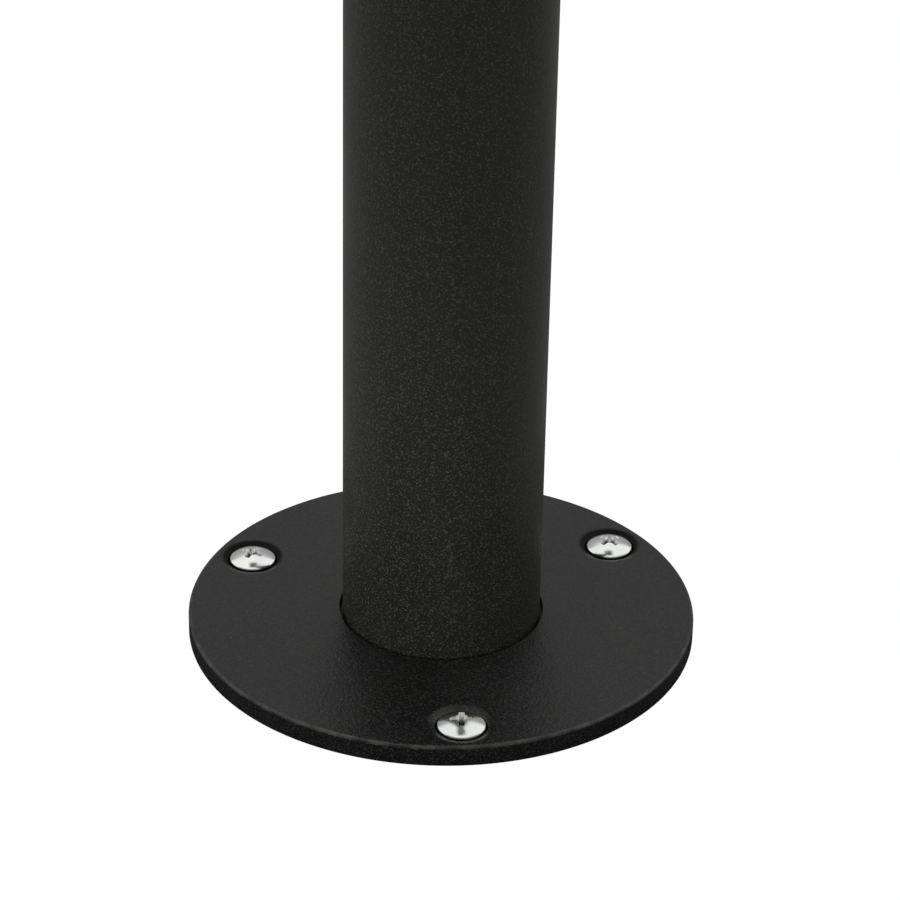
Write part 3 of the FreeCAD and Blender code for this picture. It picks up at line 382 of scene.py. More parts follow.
# ------------------------------------------------------------------ base plate
# The base plate is a disc of 5.5 mm steel, turned, drilled and powder-coated. Each of its three screw
# holes has a flat counterbore with a dished mouth, and the post stands in a shallow round pocket.
PLATE_RADIUS = PLATE_HIGH.x
PLATE_TOP = PLATE_HIGH.z
POST_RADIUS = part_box("post_tube")[1].x
POCKET_RADIUS = POST_RADIUS + 0.7 * MM
POCKET_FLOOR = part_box("post_tube")[0].z
SCREW_CIRCLE = 54 * MM
SCREW_SEAT = PLATE_TOP - 2.9 * MM
HOLE_RADIUS = 3.3 * MM
COUNTERBORE_RADIUS = 6.45 * MM
DISH_DEPTH = 0.8 * MM
SCREW_ANGLES = [math.radians(-90 + 120 * turn) for turn in range(3)]


def free_hands():
    """Nothing selected, in object mode."""
    if bpy.context.object and bpy.context.object.mode != "OBJECT":
        bpy.ops.object.mode_set(mode="OBJECT")
    bpy.ops.object.select_all(action="DESELECT")


def pick(mesh_object, kind, wanted):
    """In edit mode, selects faces by a test of middle and normal, or edges by one of their two ends."""
    bpy.ops.mesh.select_mode(type=kind)
    bpy.ops.mesh.select_all(action="DESELECT")
    work = bmesh.from_edit_mesh(mesh_object.data)
    if kind == "FACE":
        for face in work.faces:
            face.select_set(wanted(face.calc_center_median(), face.normal))
    else:
        for edge in work.edges:
            edge.select_set(wanted(edge.verts[0].co, edge.verts[1].co))
    work.select_flush_mode()
    bmesh.update_edit_mesh(mesh_object.data)


def turned(name, steps, sides=96):
    """A round piece built up ring by ring along Z, from (radius, height) steps."""
    free_hands()
    (r0, z0), (r1, z1) = steps[:2]
    middle = (0, 0, (z0 + z1) / 2)
    bpy.ops.mesh.primitive_cone_add(
        vertices=sides, radius1=r0, radius2=r1, depth=z1 - z0, location=middle, end_fill_type="NGON"
    )
    piece = bpy.context.object
    piece.name = name
    bpy.ops.object.transform_apply(location=True, rotation=True, scale=True)
    bpy.ops.object.mode_set(mode="EDIT")

    def is_top(middle, normal):
        return len(steps) > 2 and normal.z > 0.99 and abs(middle.z - z1) < 1e-6

    pick(piece, "FACE", is_top)
    for (r_old, z_old), (r_new, z_new) in zip(steps[1:], steps[2:]):
        bpy.ops.mesh.extrude_region_move(TRANSFORM_OT_translate={"value": (0, 0, z_new - z_old)})
        grow = r_new / r_old
        bpy.ops.transform.resize(value=(grow, grow, 1), center_override=(0, 0, z_new))
    bpy.ops.mesh.select_all(action="SELECT")
    bpy.ops.mesh.normals_make_consistent(inside=False)
    bpy.ops.object.mode_set(mode="OBJECT")
    return piece


def round_rings(piece, rings, width, segments=4):
    """Rounds the ring edges at given (radius, height)s."""
    bpy.context.view_layer.objects.active = piece
    bpy.ops.object.mode_set(mode="EDIT")

    def on_ring(a, b):
        for radius, height in rings:
            near = all(abs(p.z - height) < 1e-5 and abs(p.xy.length - radius) < 1e-5 for p in (a, b))
            if near:
                return True
        return False

    pick(piece, "EDGE", on_ring)
    bpy.ops.mesh.bevel(offset=width, segments=segments, affect="EDGES", clamp_overlap=False)
    bpy.ops.object.mode_set(mode="OBJECT")


def cut(piece, cutter):
    """Takes one solid out of another."""
    free_hands()
    bpy.context.view_layer.objects.active = piece
    piece.select_set(True)
    modifier = piece.modifiers.new("cut", "BOOLEAN")
    modifier.operation = "DIFFERENCE"
    modifier.solver = "EXACT"
    modifier.object = cutter
    bpy.ops.object.modifier_apply(modifier=modifier.name)
    bpy.data.objects.remove(cutter)


def settle(piece, place=(0, 0, 0), turns=()):
    """Puts a piece in its place, with the place in its mesh."""
    free_hands()
    matrix = Matrix.Translation(Vector(place))
    for axis, angle in turns:
        matrix = matrix @ Matrix.Rotation(angle, 4, axis)
    piece.matrix_world = matrix
    piece.select_set(True)
    bpy.context.view_layer.objects.active = piece
    bpy.ops.object.transform_apply(location=True, rotation=True, scale=True)
    return piece


def smooth(piece, degrees=35.0, weighted=True):
    """Smooth faces up to an angle, with flat faces kept flat."""
    free_hands()
    piece.select_set(True)
    bpy.context.view_layer.objects.active = piece
    bpy.ops.object.shade_smooth_by_angle(angle=math.radians(degrees))
    if weighted:
        modifier = piece.modifiers.new("flat_faces", "WEIGHTED_NORMAL")
        modifier.keep_sharp = True
        bpy.ops.object.modifier_apply(modifier=modifier.name)


def mark_edges(piece, bend_degrees=14.0, small=4e-6):
    """Marks the points on rounded edges, so that wear stays on them."""
    work = bmesh.new()
    work.from_mesh(piece.data)
    work.normal_update()
    marks = []
    for point in work.verts:
        bends = [e.calc_face_angle_signed(0.0) for e in point.link_edges]
        narrow = all(f.calc_area() < small for f in point.link_faces)
        marks.append(1.0 if narrow and bends and max(bends) > math.radians(bend_degrees) else 0.0)
    work.free()
    mark = piece.data.attributes.new("edge", "FLOAT", "POINT")
    mark.data.foreach_set("value", marks)


def fit_out(piece, body, slot_name, material, *replaced):
    """Gives a finished piece its body, its material and the plain pieces it stands for. Its slot name is not
    used.
    """
    mark_edges(piece)
    piece.data.materials.clear()
    piece.data.materials.append(material)
    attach(piece, body)
    if replaced:
        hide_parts(*replaced)
    return piece


def grimy_dishes(mat, holes, gloss, dull_gloss):
    """Painted shade in the dishes round some holes: a darker, less glossy colour, thickest at the side away
    from the front.
    """
    tree = mat.node_tree
    flat = tree.nodes.new("ShaderNodeVectorMath")
    flat.operation = "MULTIPLY"
    flat.inputs[1].default_value = (1, 1, 0)
    tree.links.new(tree.nodes.new("ShaderNodeTexCoord").outputs["Object"], flat.inputs[0])
    shade_masks = []
    for x, y in holes:
        apart = tree.nodes.new("ShaderNodeVectorMath")
        apart.operation = "DISTANCE"
        apart.inputs[1].default_value = (x, y + 0.7 * MM, 0)
        tree.links.new(flat.outputs[0], apart.inputs[0])
        shade_masks.append(band_of(tree, apart.outputs["Value"], 7.1 * MM, 8.4 * MM, 1.0, 0.0))
    shade_mask = maths(tree, "MAXIMUM", *shade_masks)
    shader = tree.nodes["Principled BSDF"]
    coat = shader.inputs["Base Color"].links[0].from_socket
    tree.links.new(blend_colour(mat, shade_mask, coat, (0.0022, 0.0022, 0.0021)), shader.inputs["Base Color"])
    dulled = maths(tree, "MULTIPLY_ADD", shade_mask, dull_gloss - gloss, gloss)
    tree.links.new(dulled, shader.inputs["Specular IOR Level"])


PLATE_GLOSS = 0.44
# The plate takes a darker copy of the black coat: painted shade for a top that takes less light than the
# post.
PLATE_SHADED_COAT = powder_coat(
    "plate_shaded_powder_coat", (0.0034, 0.0035, 0.0034), (0.0052, 0.0053, 0.0051), 0.28, 0.36, PLATE_GLOSS, 0.25
)
REAR_HOLES = [(SCREW_CIRCLE * math.cos(turn), SCREW_CIRCLE * math.sin(turn)) for turn in SCREW_ANGLES[1:]]
# Painted shade in the dishes of the two rear holes only.
grimy_dishes(PLATE_SHADED_COAT, REAR_HOLES, PLATE_GLOSS, 0.08)

plate = turned("base_plate_turned", [(PLATE_RADIUS, 0), (PLATE_RADIUS, PLATE_TOP)], 256)
round_rings(plate, [(PLATE_RADIUS, PLATE_TOP)], 0.9 * MM, 6)
round_rings(plate, [(PLATE_RADIUS, 0)], 0.3 * MM, 3)
pocket_mouth = PLATE_TOP - 0.25 * MM
pocket = turned(
    "pocket",
    [
        (POCKET_RADIUS, POCKET_FLOOR),
        (POCKET_RADIUS, pocket_mouth),
        (POCKET_RADIUS + 0.08 * MM, PLATE_TOP - 0.08 * MM),
        (POCKET_RADIUS + 0.35 * MM, PLATE_TOP + 0.1 * MM),
        (POCKET_RADIUS + 0.35 * MM, PLATE_TOP + MM),
    ],
    192,
)
cut(plate, pocket)
for screw_angle in SCREW_ANGLES:
    dish = turned(
        "dish",
        [
            (HOLE_RADIUS, -MM),
            (HOLE_RADIUS, SCREW_SEAT),
            (COUNTERBORE_RADIUS, SCREW_SEAT),
            (COUNTERBORE_RADIUS, PLATE_TOP - DISH_DEPTH),
            (6.75 * MM, PLATE_TOP - 0.62 * MM),
            (7.9 * MM, PLATE_TOP - 0.15 * MM),
            (8.3 * MM, PLATE_TOP - 0.04 * MM),
            (9.1 * MM, PLATE_TOP + 0.04 * MM),
            (9.1 * MM, PLATE_TOP + MM),
        ],
        96,
    )
    settle(dish, (SCREW_CIRCLE * math.cos(screw_angle), SCREW_CIRCLE * math.sin(screw_angle), 0))
    cut(plate, dish)
smooth(plate, 40)
fit_out(plate, "post_and_case", "black_powder_coat", PLATE_SHADED_COAT, "base_plate")

# ------------------------------------------------------------------ base screws
# Three M6 pan-head screws of bright zinc-plated steel. Painted shade darkens their cross recesses with depth.
# They are driven down into the counterbores, each stopped at its own angle.
HEAD_RADIUS = 6.0 * MM
HEAD_SIDE = 2.6 * MM
HEAD_DOME = 2.0 * MM
SHANK_RADIUS = 2.9 * MM
RECESS_REACH = 3.5 * MM
RECESS_SHADE_DEPTH = 1.6 * MM
CROSS_TURNS = (5.7, 52.0, 36.0)


def screw_steel():
    """Bright plating, rubbed brighter at the edges, with painted shade deep in a recess."""
    mat, shader = new_material("bright_screw_steel", metallic=1.0)
    tree = mat.node_tree
    grain = effect(mat, GRAIN, Grain_Scale=2600.0)
    worn = effect(mat, WEAR, Spread=400.0)
    plating = blend_colour(mat, grain.outputs["Cloud"], (0.80, 0.83, 0.79), (0.90, 0.91, 0.88))
    rubbed = blend_colour(mat, worn.outputs["Mask"], plating, (0.95, 0.95, 0.94))
    # Painted shade: the colour darkens with depth in the cross recess.
    depth = tree.nodes.new("ShaderNodeAttribute")
    depth.attribute_name = "recess"
    recess_shade = band_of(tree, depth.outputs["Fac"], 0.15, 0.8)
    tree.links.new(blend_colour(mat, recess_shade, rubbed, (0.05, 0.052, 0.05)), shader.inputs["Base Color"])
    rough = band_of(tree, grain.outputs["Height"], 0.4, 1.3, 0.13, 0.26)
    tree.links.new(rough, shader.inputs["Roughness"])
    bump(mat, grain.outputs["Height"], 0.12, 0.00002)
    return mat


SCREW_STEEL = screw_steel()


def pan_head_screw(name, shank):
    """A pan-head screw with its seat at height 0 and its shank below."""
    chord = math.hypot(HEAD_RADIUS, HEAD_DOME)
    dome_radius = chord * chord / (2 * HEAD_DOME)
    top = HEAD_SIDE + HEAD_DOME
    dome = []
    for share in (0.95, 0.90, 0.82, 0.70, 0.56, 0.42, 0.25, 0.08):
        radius = HEAD_RADIUS * share
        dome.append((radius, top - dome_radius + math.sqrt(dome_radius**2 - radius**2)))
    steps = [(SHANK_RADIUS, -shank), (SHANK_RADIUS, 0), (5.6 * MM, 0), (HEAD_RADIUS * 0.99, 0.35 * MM)]
    steps += [(HEAD_RADIUS, 0.8 * MM), (HEAD_RADIUS, HEAD_SIDE - 0.5 * MM)]
    steps += [(HEAD_RADIUS * 0.993, HEAD_SIDE - 0.2 * MM), (HEAD_RADIUS * 0.977, HEAD_SIDE + 0.06 * MM)]
    screw = turned(name, steps + dome, 96)
    for turn in (0, 1):
        free_hands()
        bpy.ops.mesh.primitive_cube_add(size=1, location=(0, 0, top - 1.3 * MM))
        wing = bpy.context.object
        wing.scale = (6.8 * MM, 1.75 * MM, 3.4 * MM)
        bpy.ops.object.transform_apply(location=False, rotation=False, scale=True)
        bpy.ops.object.mode_set(mode="EDIT")
        pick(wing, "FACE", lambda middle, normal: normal.z < -0.9)
        bpy.ops.transform.resize(value=(0.34, 0.16, 1))
        bpy.ops.object.mode_set(mode="OBJECT")
        wing.rotation_euler.z = turn * math.pi / 2
        bpy.ops.object.transform_apply(location=True, rotation=True, scale=True)
        cut(screw, wing)
    core = turned("core", [(0.5 * MM, top - 3.0 * MM), (1.85 * MM, top + 0.4 * MM)], 24)
    cut(screw, core)
    smooth(screw, 32)
    # Depth below the dome inside the recess, which carries the painted shade.
    depths = []
    for point in screw.data.vertices:
        flat = point.co.xy.length
        dome_height = top - dome_radius + math.sqrt(dome_radius**2 - min(flat, HEAD_RADIUS) ** 2)
        in_recess = flat < RECESS_REACH and point.co.z > 0.5 * MM
        depth = (dome_height - point.co.z) / RECESS_SHADE_DEPTH
        depths.append(min(1.0, max(0.0, depth)) if in_recess else 0.0)
    mark = screw.data.attributes.new("recess", "FLOAT", "POINT")
    mark.data.foreach_set("value", depths)
    return screw


for number, (screw_angle, cross) in enumerate(zip(SCREW_ANGLES, CROSS_TURNS), 1):
    screw = pan_head_screw(f"base_screw_{number}", SCREW_SEAT - 0.2 * MM)
    place = (SCREW_CIRCLE * math.cos(screw_angle), SCREW_CIRCLE * math.sin(screw_angle), SCREW_SEAT)
    settle(screw, place, [("Z", -math.radians(cross))])
    fit_out(screw, "post_and_case", "bright_screw_steel", SCREW_STEEL)
    if number == 1:
        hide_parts("base_screws")

# ------------------------------------------------------------------ post
# The post is a plain length of round steel tube, 50 mm across with a 2 mm wall, cut square and deburred
# at both ends. It is powder-coated with the plate and stands in the plate's pocket over a pressed-in plug.
POST_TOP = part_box("post_tube")[1].z
TUBE_WALL = 2 * MM
post = turned("post_tube_long", [(POST_RADIUS, POCKET_FLOOR), (POST_RADIUS, POST_TOP)], 192)
bpy.ops.object.mode_set(mode="EDIT")
pick(post, "FACE", lambda middle, normal: abs(normal.z) > 0.99)
bpy.ops.mesh.inset(thickness=TUBE_WALL)
bpy.ops.mesh.bridge_edge_loops()
bpy.ops.object.mode_set(mode="OBJECT")
round_rings(post, [(POST_RADIUS, POCKET_FLOOR), (POST_RADIUS, POST_TOP)], 0.3 * MM, 3)
smooth(post, 40)
fit_out(post, "post_and_case", "black_powder_coat", BLACK_COAT, "post_tube")

# ------------------------------------------------------------------ foot plug and bolts
# A turned steel plug is pressed into the foot of the post. Three countersunk bolts come up through the
# plate into it. It is left bare, with fine turning marks and a thin film of oil.


def simple_finish(name, dark, light, rough, grain_scale=900.0, relief=0.3, metallic=0.0):
    """A finish of two close tones with its own roughness range, fine relief, rubbed edges and dust."""
    mat, shader = new_material(name, metallic=metallic, Specular_IOR_Level=0.5)
    tree = mat.node_tree
    grain = effect(mat, GRAIN, Grain_Scale=grain_scale)
    worn_edges = effect(mat, WEAR, Spread=300.0)
    settled = effect(mat, DUST, Amount=0.2)
    colour = blend_colour(mat, grain.outputs["Cloud"], dark, light)
    bare = tuple(min(1.0, 1.3 * c) for c in light)
    colour = blend_colour(mat, worn_edges.outputs["Mask"], colour, bare)
    colour = blend_colour(mat, settled.outputs["Mask"], colour, (0.30, 0.29, 0.27))
    tree.links.new(colour, shader.inputs["Base Color"])
    rough_field = band_of(tree, grain.outputs["Height"], 0.5, 1.2, rough[0], rough[1])
    dulled = maths(tree, "MULTIPLY_ADD", settled.outputs["Mask"], 0.3, rough_field)
    tree.links.new(dulled, shader.inputs["Roughness"])
    bump(mat, grain.outputs["Height"], relief, 0.00006)
    return mat


def finish_nodes(material, *names):
    """CAD pieces that keep their shape take a finish."""
    for name in names:
        for place in nodes[name].material_slots:
            place.material = material


def on_both_doors(*names):
    """The front and rear doors' own names for these pieces."""
    return [f"{side}_{name}" for side in ("front", "rear") for name in names]


PLAIN_STEEL = simple_finish("plain_steel", (0.36, 0.36, 0.37), (0.50, 0.50, 0.51), (0.28, 0.42), metallic=1.0)
finish_nodes(PLAIN_STEEL, "foot_plug")
finish_nodes(SCREW_STEEL, "foot_bolts")

# ------------------------------------------------------------------ neck saddle and its screws
# The saddle is an iron casting bored for the post, with a flare that takes the case's round band. Its
# edges are fettled before it is coated. Three pan-head screws in flat spotfaces bear on the post.


def softened(name, new_name, width):
    """A copy of a CAD piece, merged into whole faces, with its sharp edges rounded."""
    source = nodes[name]
    piece = source.copy()
    piece.data = source.data.copy()
    piece.name = new_name
    piece.parent = None
    for key in [k for k in piece.keys() if k.startswith("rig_")]:
        del piece[key]
    bpy.context.scene.collection.objects.link(piece)
    free_hands()
    bpy.context.view_layer.objects.active = piece
    piece.select_set(True)
    if piece.data.has_custom_normals:
        bpy.ops.mesh.customdata_custom_splitnormals_clear()
    bpy.ops.object.mode_set(mode="EDIT")
    bpy.ops.mesh.select_all(action="SELECT")
    bpy.ops.mesh.remove_doubles(threshold=2e-6)
    bpy.ops.mesh.dissolve_limited(angle_limit=math.radians(0.4))
    bpy.ops.object.mode_set(mode="OBJECT")
    modifier = piece.modifiers.new("rounded_edges", "BEVEL")
    modifier.width = width
    modifier.segments = 3
    modifier.limit_method = "ANGLE"
    modifier.angle_limit = math.radians(28.0)
    modifier.harden_normals = False
    bpy.ops.object.modifier_apply(modifier=modifier.name)
    smooth(piece, 35)
    return piece


def soften_nodes(slot_name, material, width, *names):
    """Rounded copies of CAD pieces stand for them, on the bodies that those ride on."""
    for name in names:
        piece = softened(name, f"{name}_finished", width)
        fit_out(piece, nodes[name]["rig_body"], slot_name, material, name)


soften_nodes("black_powder_coat", BLACK_COAT, 0.4 * MM, "neck_saddle")
NECK_SEAT = 29.6 * MM
NECK_SCREW_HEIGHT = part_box("neck_saddle")[0].z + 10 * MM
for number, (screw_angle, cross) in enumerate(zip(SCREW_ANGLES, CROSS_TURNS), 1):
    screw = pan_head_screw(f"neck_screw_{number}", 4.4 * MM)
    place = (NECK_SEAT * math.cos(screw_angle), NECK_SEAT * math.sin(screw_angle), NECK_SCREW_HEIGHT)
    settle(screw, place, [("Z", screw_angle), ("Y", math.pi / 2), ("Z", math.radians(cross))])
    fit_out(screw, "post_and_case", "bright_screw_steel", SCREW_STEEL)
    if number == 1:
        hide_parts("neck_screws")

# ------------------------------------------------------------------ case band, hinges and catches
# The case is a 2 mm steel band rolled to a ring and butt-welded, with the weld dressed flat. The hinge
# leaves and the magnet keepers are welded to its sides and coated with it. Four screws through a pad
# inside hold it down on the saddle.
soften_nodes("black_powder_coat", BLACK_COAT, 0.5 * MM, "case_band", "hinge_leaves", "catch_blocks")
soften_nodes("plain_steel", PLAIN_STEEL, 0.4 * MM, "clamp_block")
soften_nodes("bright_screw_steel", SCREW_STEEL, 0.35 * MM, "hinge_pins")
finish_nodes(SCREW_STEEL, "saddle_bolts")
MAGNET_PLATING = simple_finish(
    "magnet_plating", (0.66, 0.66, 0.68), (0.76, 0.76, 0.78), (0.10, 0.2), relief=0.05, metallic=1.0
)
soften_nodes("magnet_plating", MAGNET_PLATING, 0.3 * MM, "catch_magnets")

# ------------------------------------------------------------------ door seals
# Each of the case's two edges carries a cut rubber ring that the closed door presses on.
RUBBER = simple_finish("black_rubber", (0.020, 0.020, 0.021), (0.032, 0.032, 0.033), (0.62, 0.8), 700.0, 0.5)
soften_nodes("black_rubber", RUBBER, 0.35 * MM, "door_seals")

# ------------------------------------------------------------------ door rings
# Each door is a spun steel ring with a rolled face and a short skirt over the case. A hinge knuckle and a
# finger pull are welded to it before it is coated.
DIAL_MIDDLE = (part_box("front_dial")[0].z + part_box("front_dial")[1].z) / 2
FACE_OUT = -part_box("front_bezel")[0].y
RING_OVERHANG = 3 * MM
FACE_WIDTH = 23 * MM
FACE_THICKNESS = 3 * MM
SKIRT_THICKNESS = 2 * MM
SKIRT_DEPTH = 10 * MM
RING_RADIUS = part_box("door_seals")[1].x + RING_OVERHANG
OPENING = RING_RADIUS - FACE_WIDTH
SKIRT_BACK = FACE_OUT - SKIRT_DEPTH


def turned_ring(name, profile, sides=256):
    """A closed ring: turned steps, with its two end faces opened and joined to each other."""
    ring = turned(name, profile, sides)
    bpy.ops.object.mode_set(mode="EDIT")
    bpy.ops.mesh.select_mode(type="FACE")
    bpy.ops.mesh.select_all(action="DESELECT")
    work = bmesh.from_edit_mesh(ring.data)
    for face in work.faces:
        face.select_set(len(face.verts) > 4)
    bmesh.update_edit_mesh(ring.data)
    bpy.ops.mesh.delete(type="ONLY_FACE")
    bpy.ops.mesh.select_mode(type="EDGE")
    bpy.ops.mesh.select_non_manifold()
    bpy.ops.mesh.bridge_edge_loops()
    bpy.ops.mesh.select_all(action="SELECT")
    bpy.ops.mesh.normals_make_consistent(inside=False)
    bpy.ops.object.mode_set(mode="OBJECT")
    return ring


def arc_steps(radius, height, reach, first, last, count=6):
    """Steps along a quarter round, by its centre, its radius and its end angles from outward."""
    angles = [math.radians(first + (last - first) * n / count) for n in range(count + 1)]
    return [(radius + reach * math.cos(a), height + reach * math.sin(a)) for a in angles]


def face_the_dial(piece):
    """A piece drawn flat, with its top as the dial's front, turned to stand about the dial's axis."""
    return settle(piece, (0, 0, DIAL_MIDDLE), [("X", math.pi / 2)])


def weld_on(piece, other):
    """Joins a second solid to the first."""
    free_hands()
    bpy.context.view_layer.objects.active = piece
    piece.select_set(True)
    modifier = piece.modifiers.new("weld", "BOOLEAN")
    modifier.operation = "UNION"
    modifier.solver = "EXACT"
    modifier.object = other
    bpy.ops.object.modifier_apply(modifier=modifier.name)
    bpy.data.objects.remove(other)


def rounded_block(name, corner_low, corner_high, width, segments=4):
    """A block between two corners with rounded edges."""
    free_hands()
    middle = [(a + b) / 2 for a, b in zip(corner_low, corner_high)]
    bpy.ops.mesh.primitive_cube_add(size=1, location=middle)
    block = bpy.context.object
    block.name = name
    block.scale = [b - a for a, b in zip(corner_low, corner_high)]
    bpy.ops.object.transform_apply(location=True, rotation=True, scale=True)
    bpy.ops.object.mode_set(mode="EDIT")
    bpy.ops.mesh.select_all(action="SELECT")
    bpy.ops.mesh.bevel(offset=width, segments=segments, affect="EDGES")
    bpy.ops.object.mode_set(mode="OBJECT")
    return block


def other_side(piece, name):
    """The same piece for the other side, half a turn about the post, with its own mesh."""
    free_hands()
    copy = piece.copy()
    copy.data = piece.data.copy()
    copy.name = name
    bpy.context.scene.collection.objects.link(copy)
    return settle(copy, turns=[("Z", math.pi)])


def fit_both_doors(piece, name, body, slot_name, material, *replaced):
    """A front piece and its copy at the rear, on the two doors' bodies of that name."""
    piece.name = f"front_{name}"
    for side, made in (("front", piece), ("rear", other_side(piece, f"rear_{name}"))):
        fit_out(made, f"{side}_{body}", slot_name, material, *[f"{side}_{node}" for node in replaced])


ring_profile = [(RING_RADIUS, SKIRT_BACK), (RING_RADIUS, FACE_OUT - 6 * MM)]
ring_profile += arc_steps(RING_RADIUS - 2 * MM, FACE_OUT - 2 * MM, 2 * MM, 0, 90)
ring_profile += [(RING_RADIUS - 8 * MM, FACE_OUT), (RING_RADIUS - 9 * MM, FACE_OUT - 0.3 * MM)]
ring_profile += [(RING_RADIUS - 14 * MM, FACE_OUT - 0.3 * MM), (RING_RADIUS - 15 * MM, FACE_OUT)]
ring_profile += arc_steps(OPENING + 1.6 * MM, FACE_OUT - 1.6 * MM, 1.6 * MM, 90, 180)
ring_profile += [(OPENING, FACE_OUT - FACE_THICKNESS)]
ring_profile += [(RING_RADIUS - SKIRT_THICKNESS, FACE_OUT - FACE_THICKNESS)]
ring_profile += [(RING_RADIUS - SKIRT_THICKNESS, SKIRT_BACK)]
door_ring = face_the_dial(turned_ring("door_ring", ring_profile))
HINGE_X = -(RING_RADIUS + 7 * MM)
HINGE_OUT = SKIRT_BACK + MM
arm = rounded_block(
    "arm",
    (HINGE_X + 0.5 * MM, -FACE_OUT + 1.5 * MM, DIAL_MIDDLE - 11.4 * MM),
    (-RING_RADIUS + 1.2 * MM, -HINGE_OUT - 1.5 * MM, DIAL_MIDDLE + 11.4 * MM),
    1.2 * MM,
)
weld_on(door_ring, arm)
knuckle_steps = [(3.6 * MM, -11.5 * MM), (4 * MM, -11.1 * MM), (4 * MM, 11.1 * MM), (3.6 * MM, 11.5 * MM)]
knuckle = turned("knuckle", knuckle_steps, 48)
settle(knuckle, (HINGE_X, -HINGE_OUT, DIAL_MIDDLE))
weld_on(door_ring, knuckle)
pin_way = turned("pin_way", [(2.05 * MM, -14 * MM), (2.05 * MM, 14 * MM)], 48)
settle(pin_way, (HINGE_X, -HINGE_OUT, DIAL_MIDDLE))
cut(door_ring, pin_way)
pull = rounded_block(
    "pull",
    (RING_RADIUS - 1.1 * MM, -FACE_OUT + 1.4 * MM, DIAL_MIDDLE - 9 * MM),
    (RING_RADIUS + 9 * MM, -FACE_OUT + 6 * MM, DIAL_MIDDLE + 9 * MM),
    1.6 * MM,
)
weld_on(door_ring, pull)
smooth(door_ring, 32)
fit_both_doors(door_ring, "door_ring", "door", "black_powder_coat", BLACK_COAT, "bezel")

# ------------------------------------------------------------------ glass, gasket and spacer
# A disc of 3 mm float glass with a ground edge sits in a rubber channel. A white plastic ring behind it
# holds it against the door's face and sets the dial back from it.


def clear_glass():
    """Clear glass that shows more of itself at a glancing angle and where dust has settled."""
    mat, shader = new_material(
        "clear_glass", Roughness=0.03, IOR=1.5, Specular_IOR_Level=1.0, Coat_Weight=0.6
    )
    tree = mat.node_tree
    shader.inputs["Base Color"].default_value = (0.055, 0.065, 0.062, 1)
    settled = effect(mat, DUST, Amount=0.35)
    facing = tree.nodes.new("ShaderNodeLayerWeight")
    facing.inputs["Blend"].default_value = 0.35
    clear = band_of(tree, facing.outputs["Facing"], 0.1, 1.0, 0.13, 0.75)
    dusty = maths(tree, "MULTIPLY", settled.outputs["Mask"], 0.2)
    tree.links.new(maths(tree, "ADD", clear, dusty), shader.inputs["Alpha"])
    return mat


GLASS = clear_glass()
WHITE_PLASTIC = simple_finish(
    "white_plastic", (0.74, 0.74, 0.72), (0.82, 0.82, 0.80), (0.34, 0.46), relief=0.2
)
soften_nodes("clear_glass", GLASS, 0.5 * MM, *on_both_doors("glass"))
soften_nodes("black_rubber", RUBBER, 0.2 * MM, *on_both_doors("glass_gasket"))
soften_nodes("white_plastic", WHITE_PLASTIC, 0.4 * MM, *on_both_doors("spacer_ring"))

# ------------------------------------------------------------------ dials
# Each dial is a disc of enamelled aluminium. The minute track, the hour marks and the figures are
# screen-printed in a thick black ink that stands a little proud of the white.
DIAL_FACE = -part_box("front_dial")[0].y
INK = 0.12 * MM
TRACK_OUTER = 141 * MM
TRACK_INNER = 133 * MM
FIGURE_CIRCLE = 107 * MM
ENAMEL = simple_finish(
    "white_enamel_paint", (0.79, 0.79, 0.76), (0.85, 0.85, 0.82), (0.22, 0.32), 500.0, 0.12
)
HAND_PAINT = simple_finish(
    "hand_paint", (0.010, 0.010, 0.010), (0.016, 0.016, 0.016), (0.32, 0.42), 1200.0, 0.2
)
soften_nodes("white_enamel_paint", ENAMEL, 0.3 * MM, *on_both_doors("dial"))


def print_bar(width, inner, outer, angle_deg):
    """A printed bar that points at the dial's middle."""
    bar = rounded_block("bar", (-width / 2, inner, -INK), (width / 2, outer, INK), INK * 0.8, 2)
    return settle(bar, turns=[("Z", -math.radians(angle_deg))])


def print_ring(radius, width):
    """A printed ring, by its outer radius and its width."""
    steps = [(radius, -INK), (radius, INK * 0.4), (radius - INK, INK), (radius - width + INK, INK)]
    steps += [(radius - width, INK * 0.4), (radius - width, -INK)]
    return turned_ring("track", steps, 240)


def print_figure(figure, angle_deg):
    """A printed hour figure that stands upright."""
    free_hands()
    angle = math.radians(angle_deg)
    place = (FIGURE_CIRCLE * math.sin(angle), FIGURE_CIRCLE * math.cos(angle), -INK)
    bpy.ops.object.text_add(location=place)
    text = bpy.context.object
    text.data.body = figure
    text.data.size = 42 * MM
    text.data.align_x = "CENTER"
    text.data.align_y = "CENTER"
    text.data.extrude = INK * 2
    text.data.bevel_depth = 0.55 * MM
    text.data.bevel_resolution = 1
    bpy.ops.object.convert(target="MESH")
    bpy.context.object.scale.z = 0.35
    bpy.ops.object.transform_apply(location=True, rotation=True, scale=True)
    return bpy.context.object


marks = [print_ring(TRACK_OUTER, 0.9 * MM), print_ring(TRACK_INNER + 0.9 * MM, 0.9 * MM)]
for minute in range(60):
    if minute % 5:
        marks.append(print_bar(1.3 * MM, TRACK_INNER + 0.5 * MM, TRACK_OUTER - 0.5 * MM, minute * 6))
    else:
        marks.append(print_bar(5.6 * MM, TRACK_INNER - 6 * MM, TRACK_OUTER - 0.4 * MM, minute * 6))
        marks.append(print_figure(str(minute // 5 or 12), minute * 6))
free_hands()
for mark in marks:
    mark.select_set(True)
bpy.context.view_layer.objects.active = marks[0]
bpy.ops.object.join()
dial_print = bpy.context.object
settle(dial_print, (0, -DIAL_FACE, DIAL_MIDDLE), [("X", math.pi / 2)])
smooth(dial_print, 30, weighted=False)
fit_both_doors(dial_print, "dial_print", "door", "hand_paint", HAND_PAINT)
finish_nodes(SCREW_STEEL, *on_both_doors("dial_screws"))

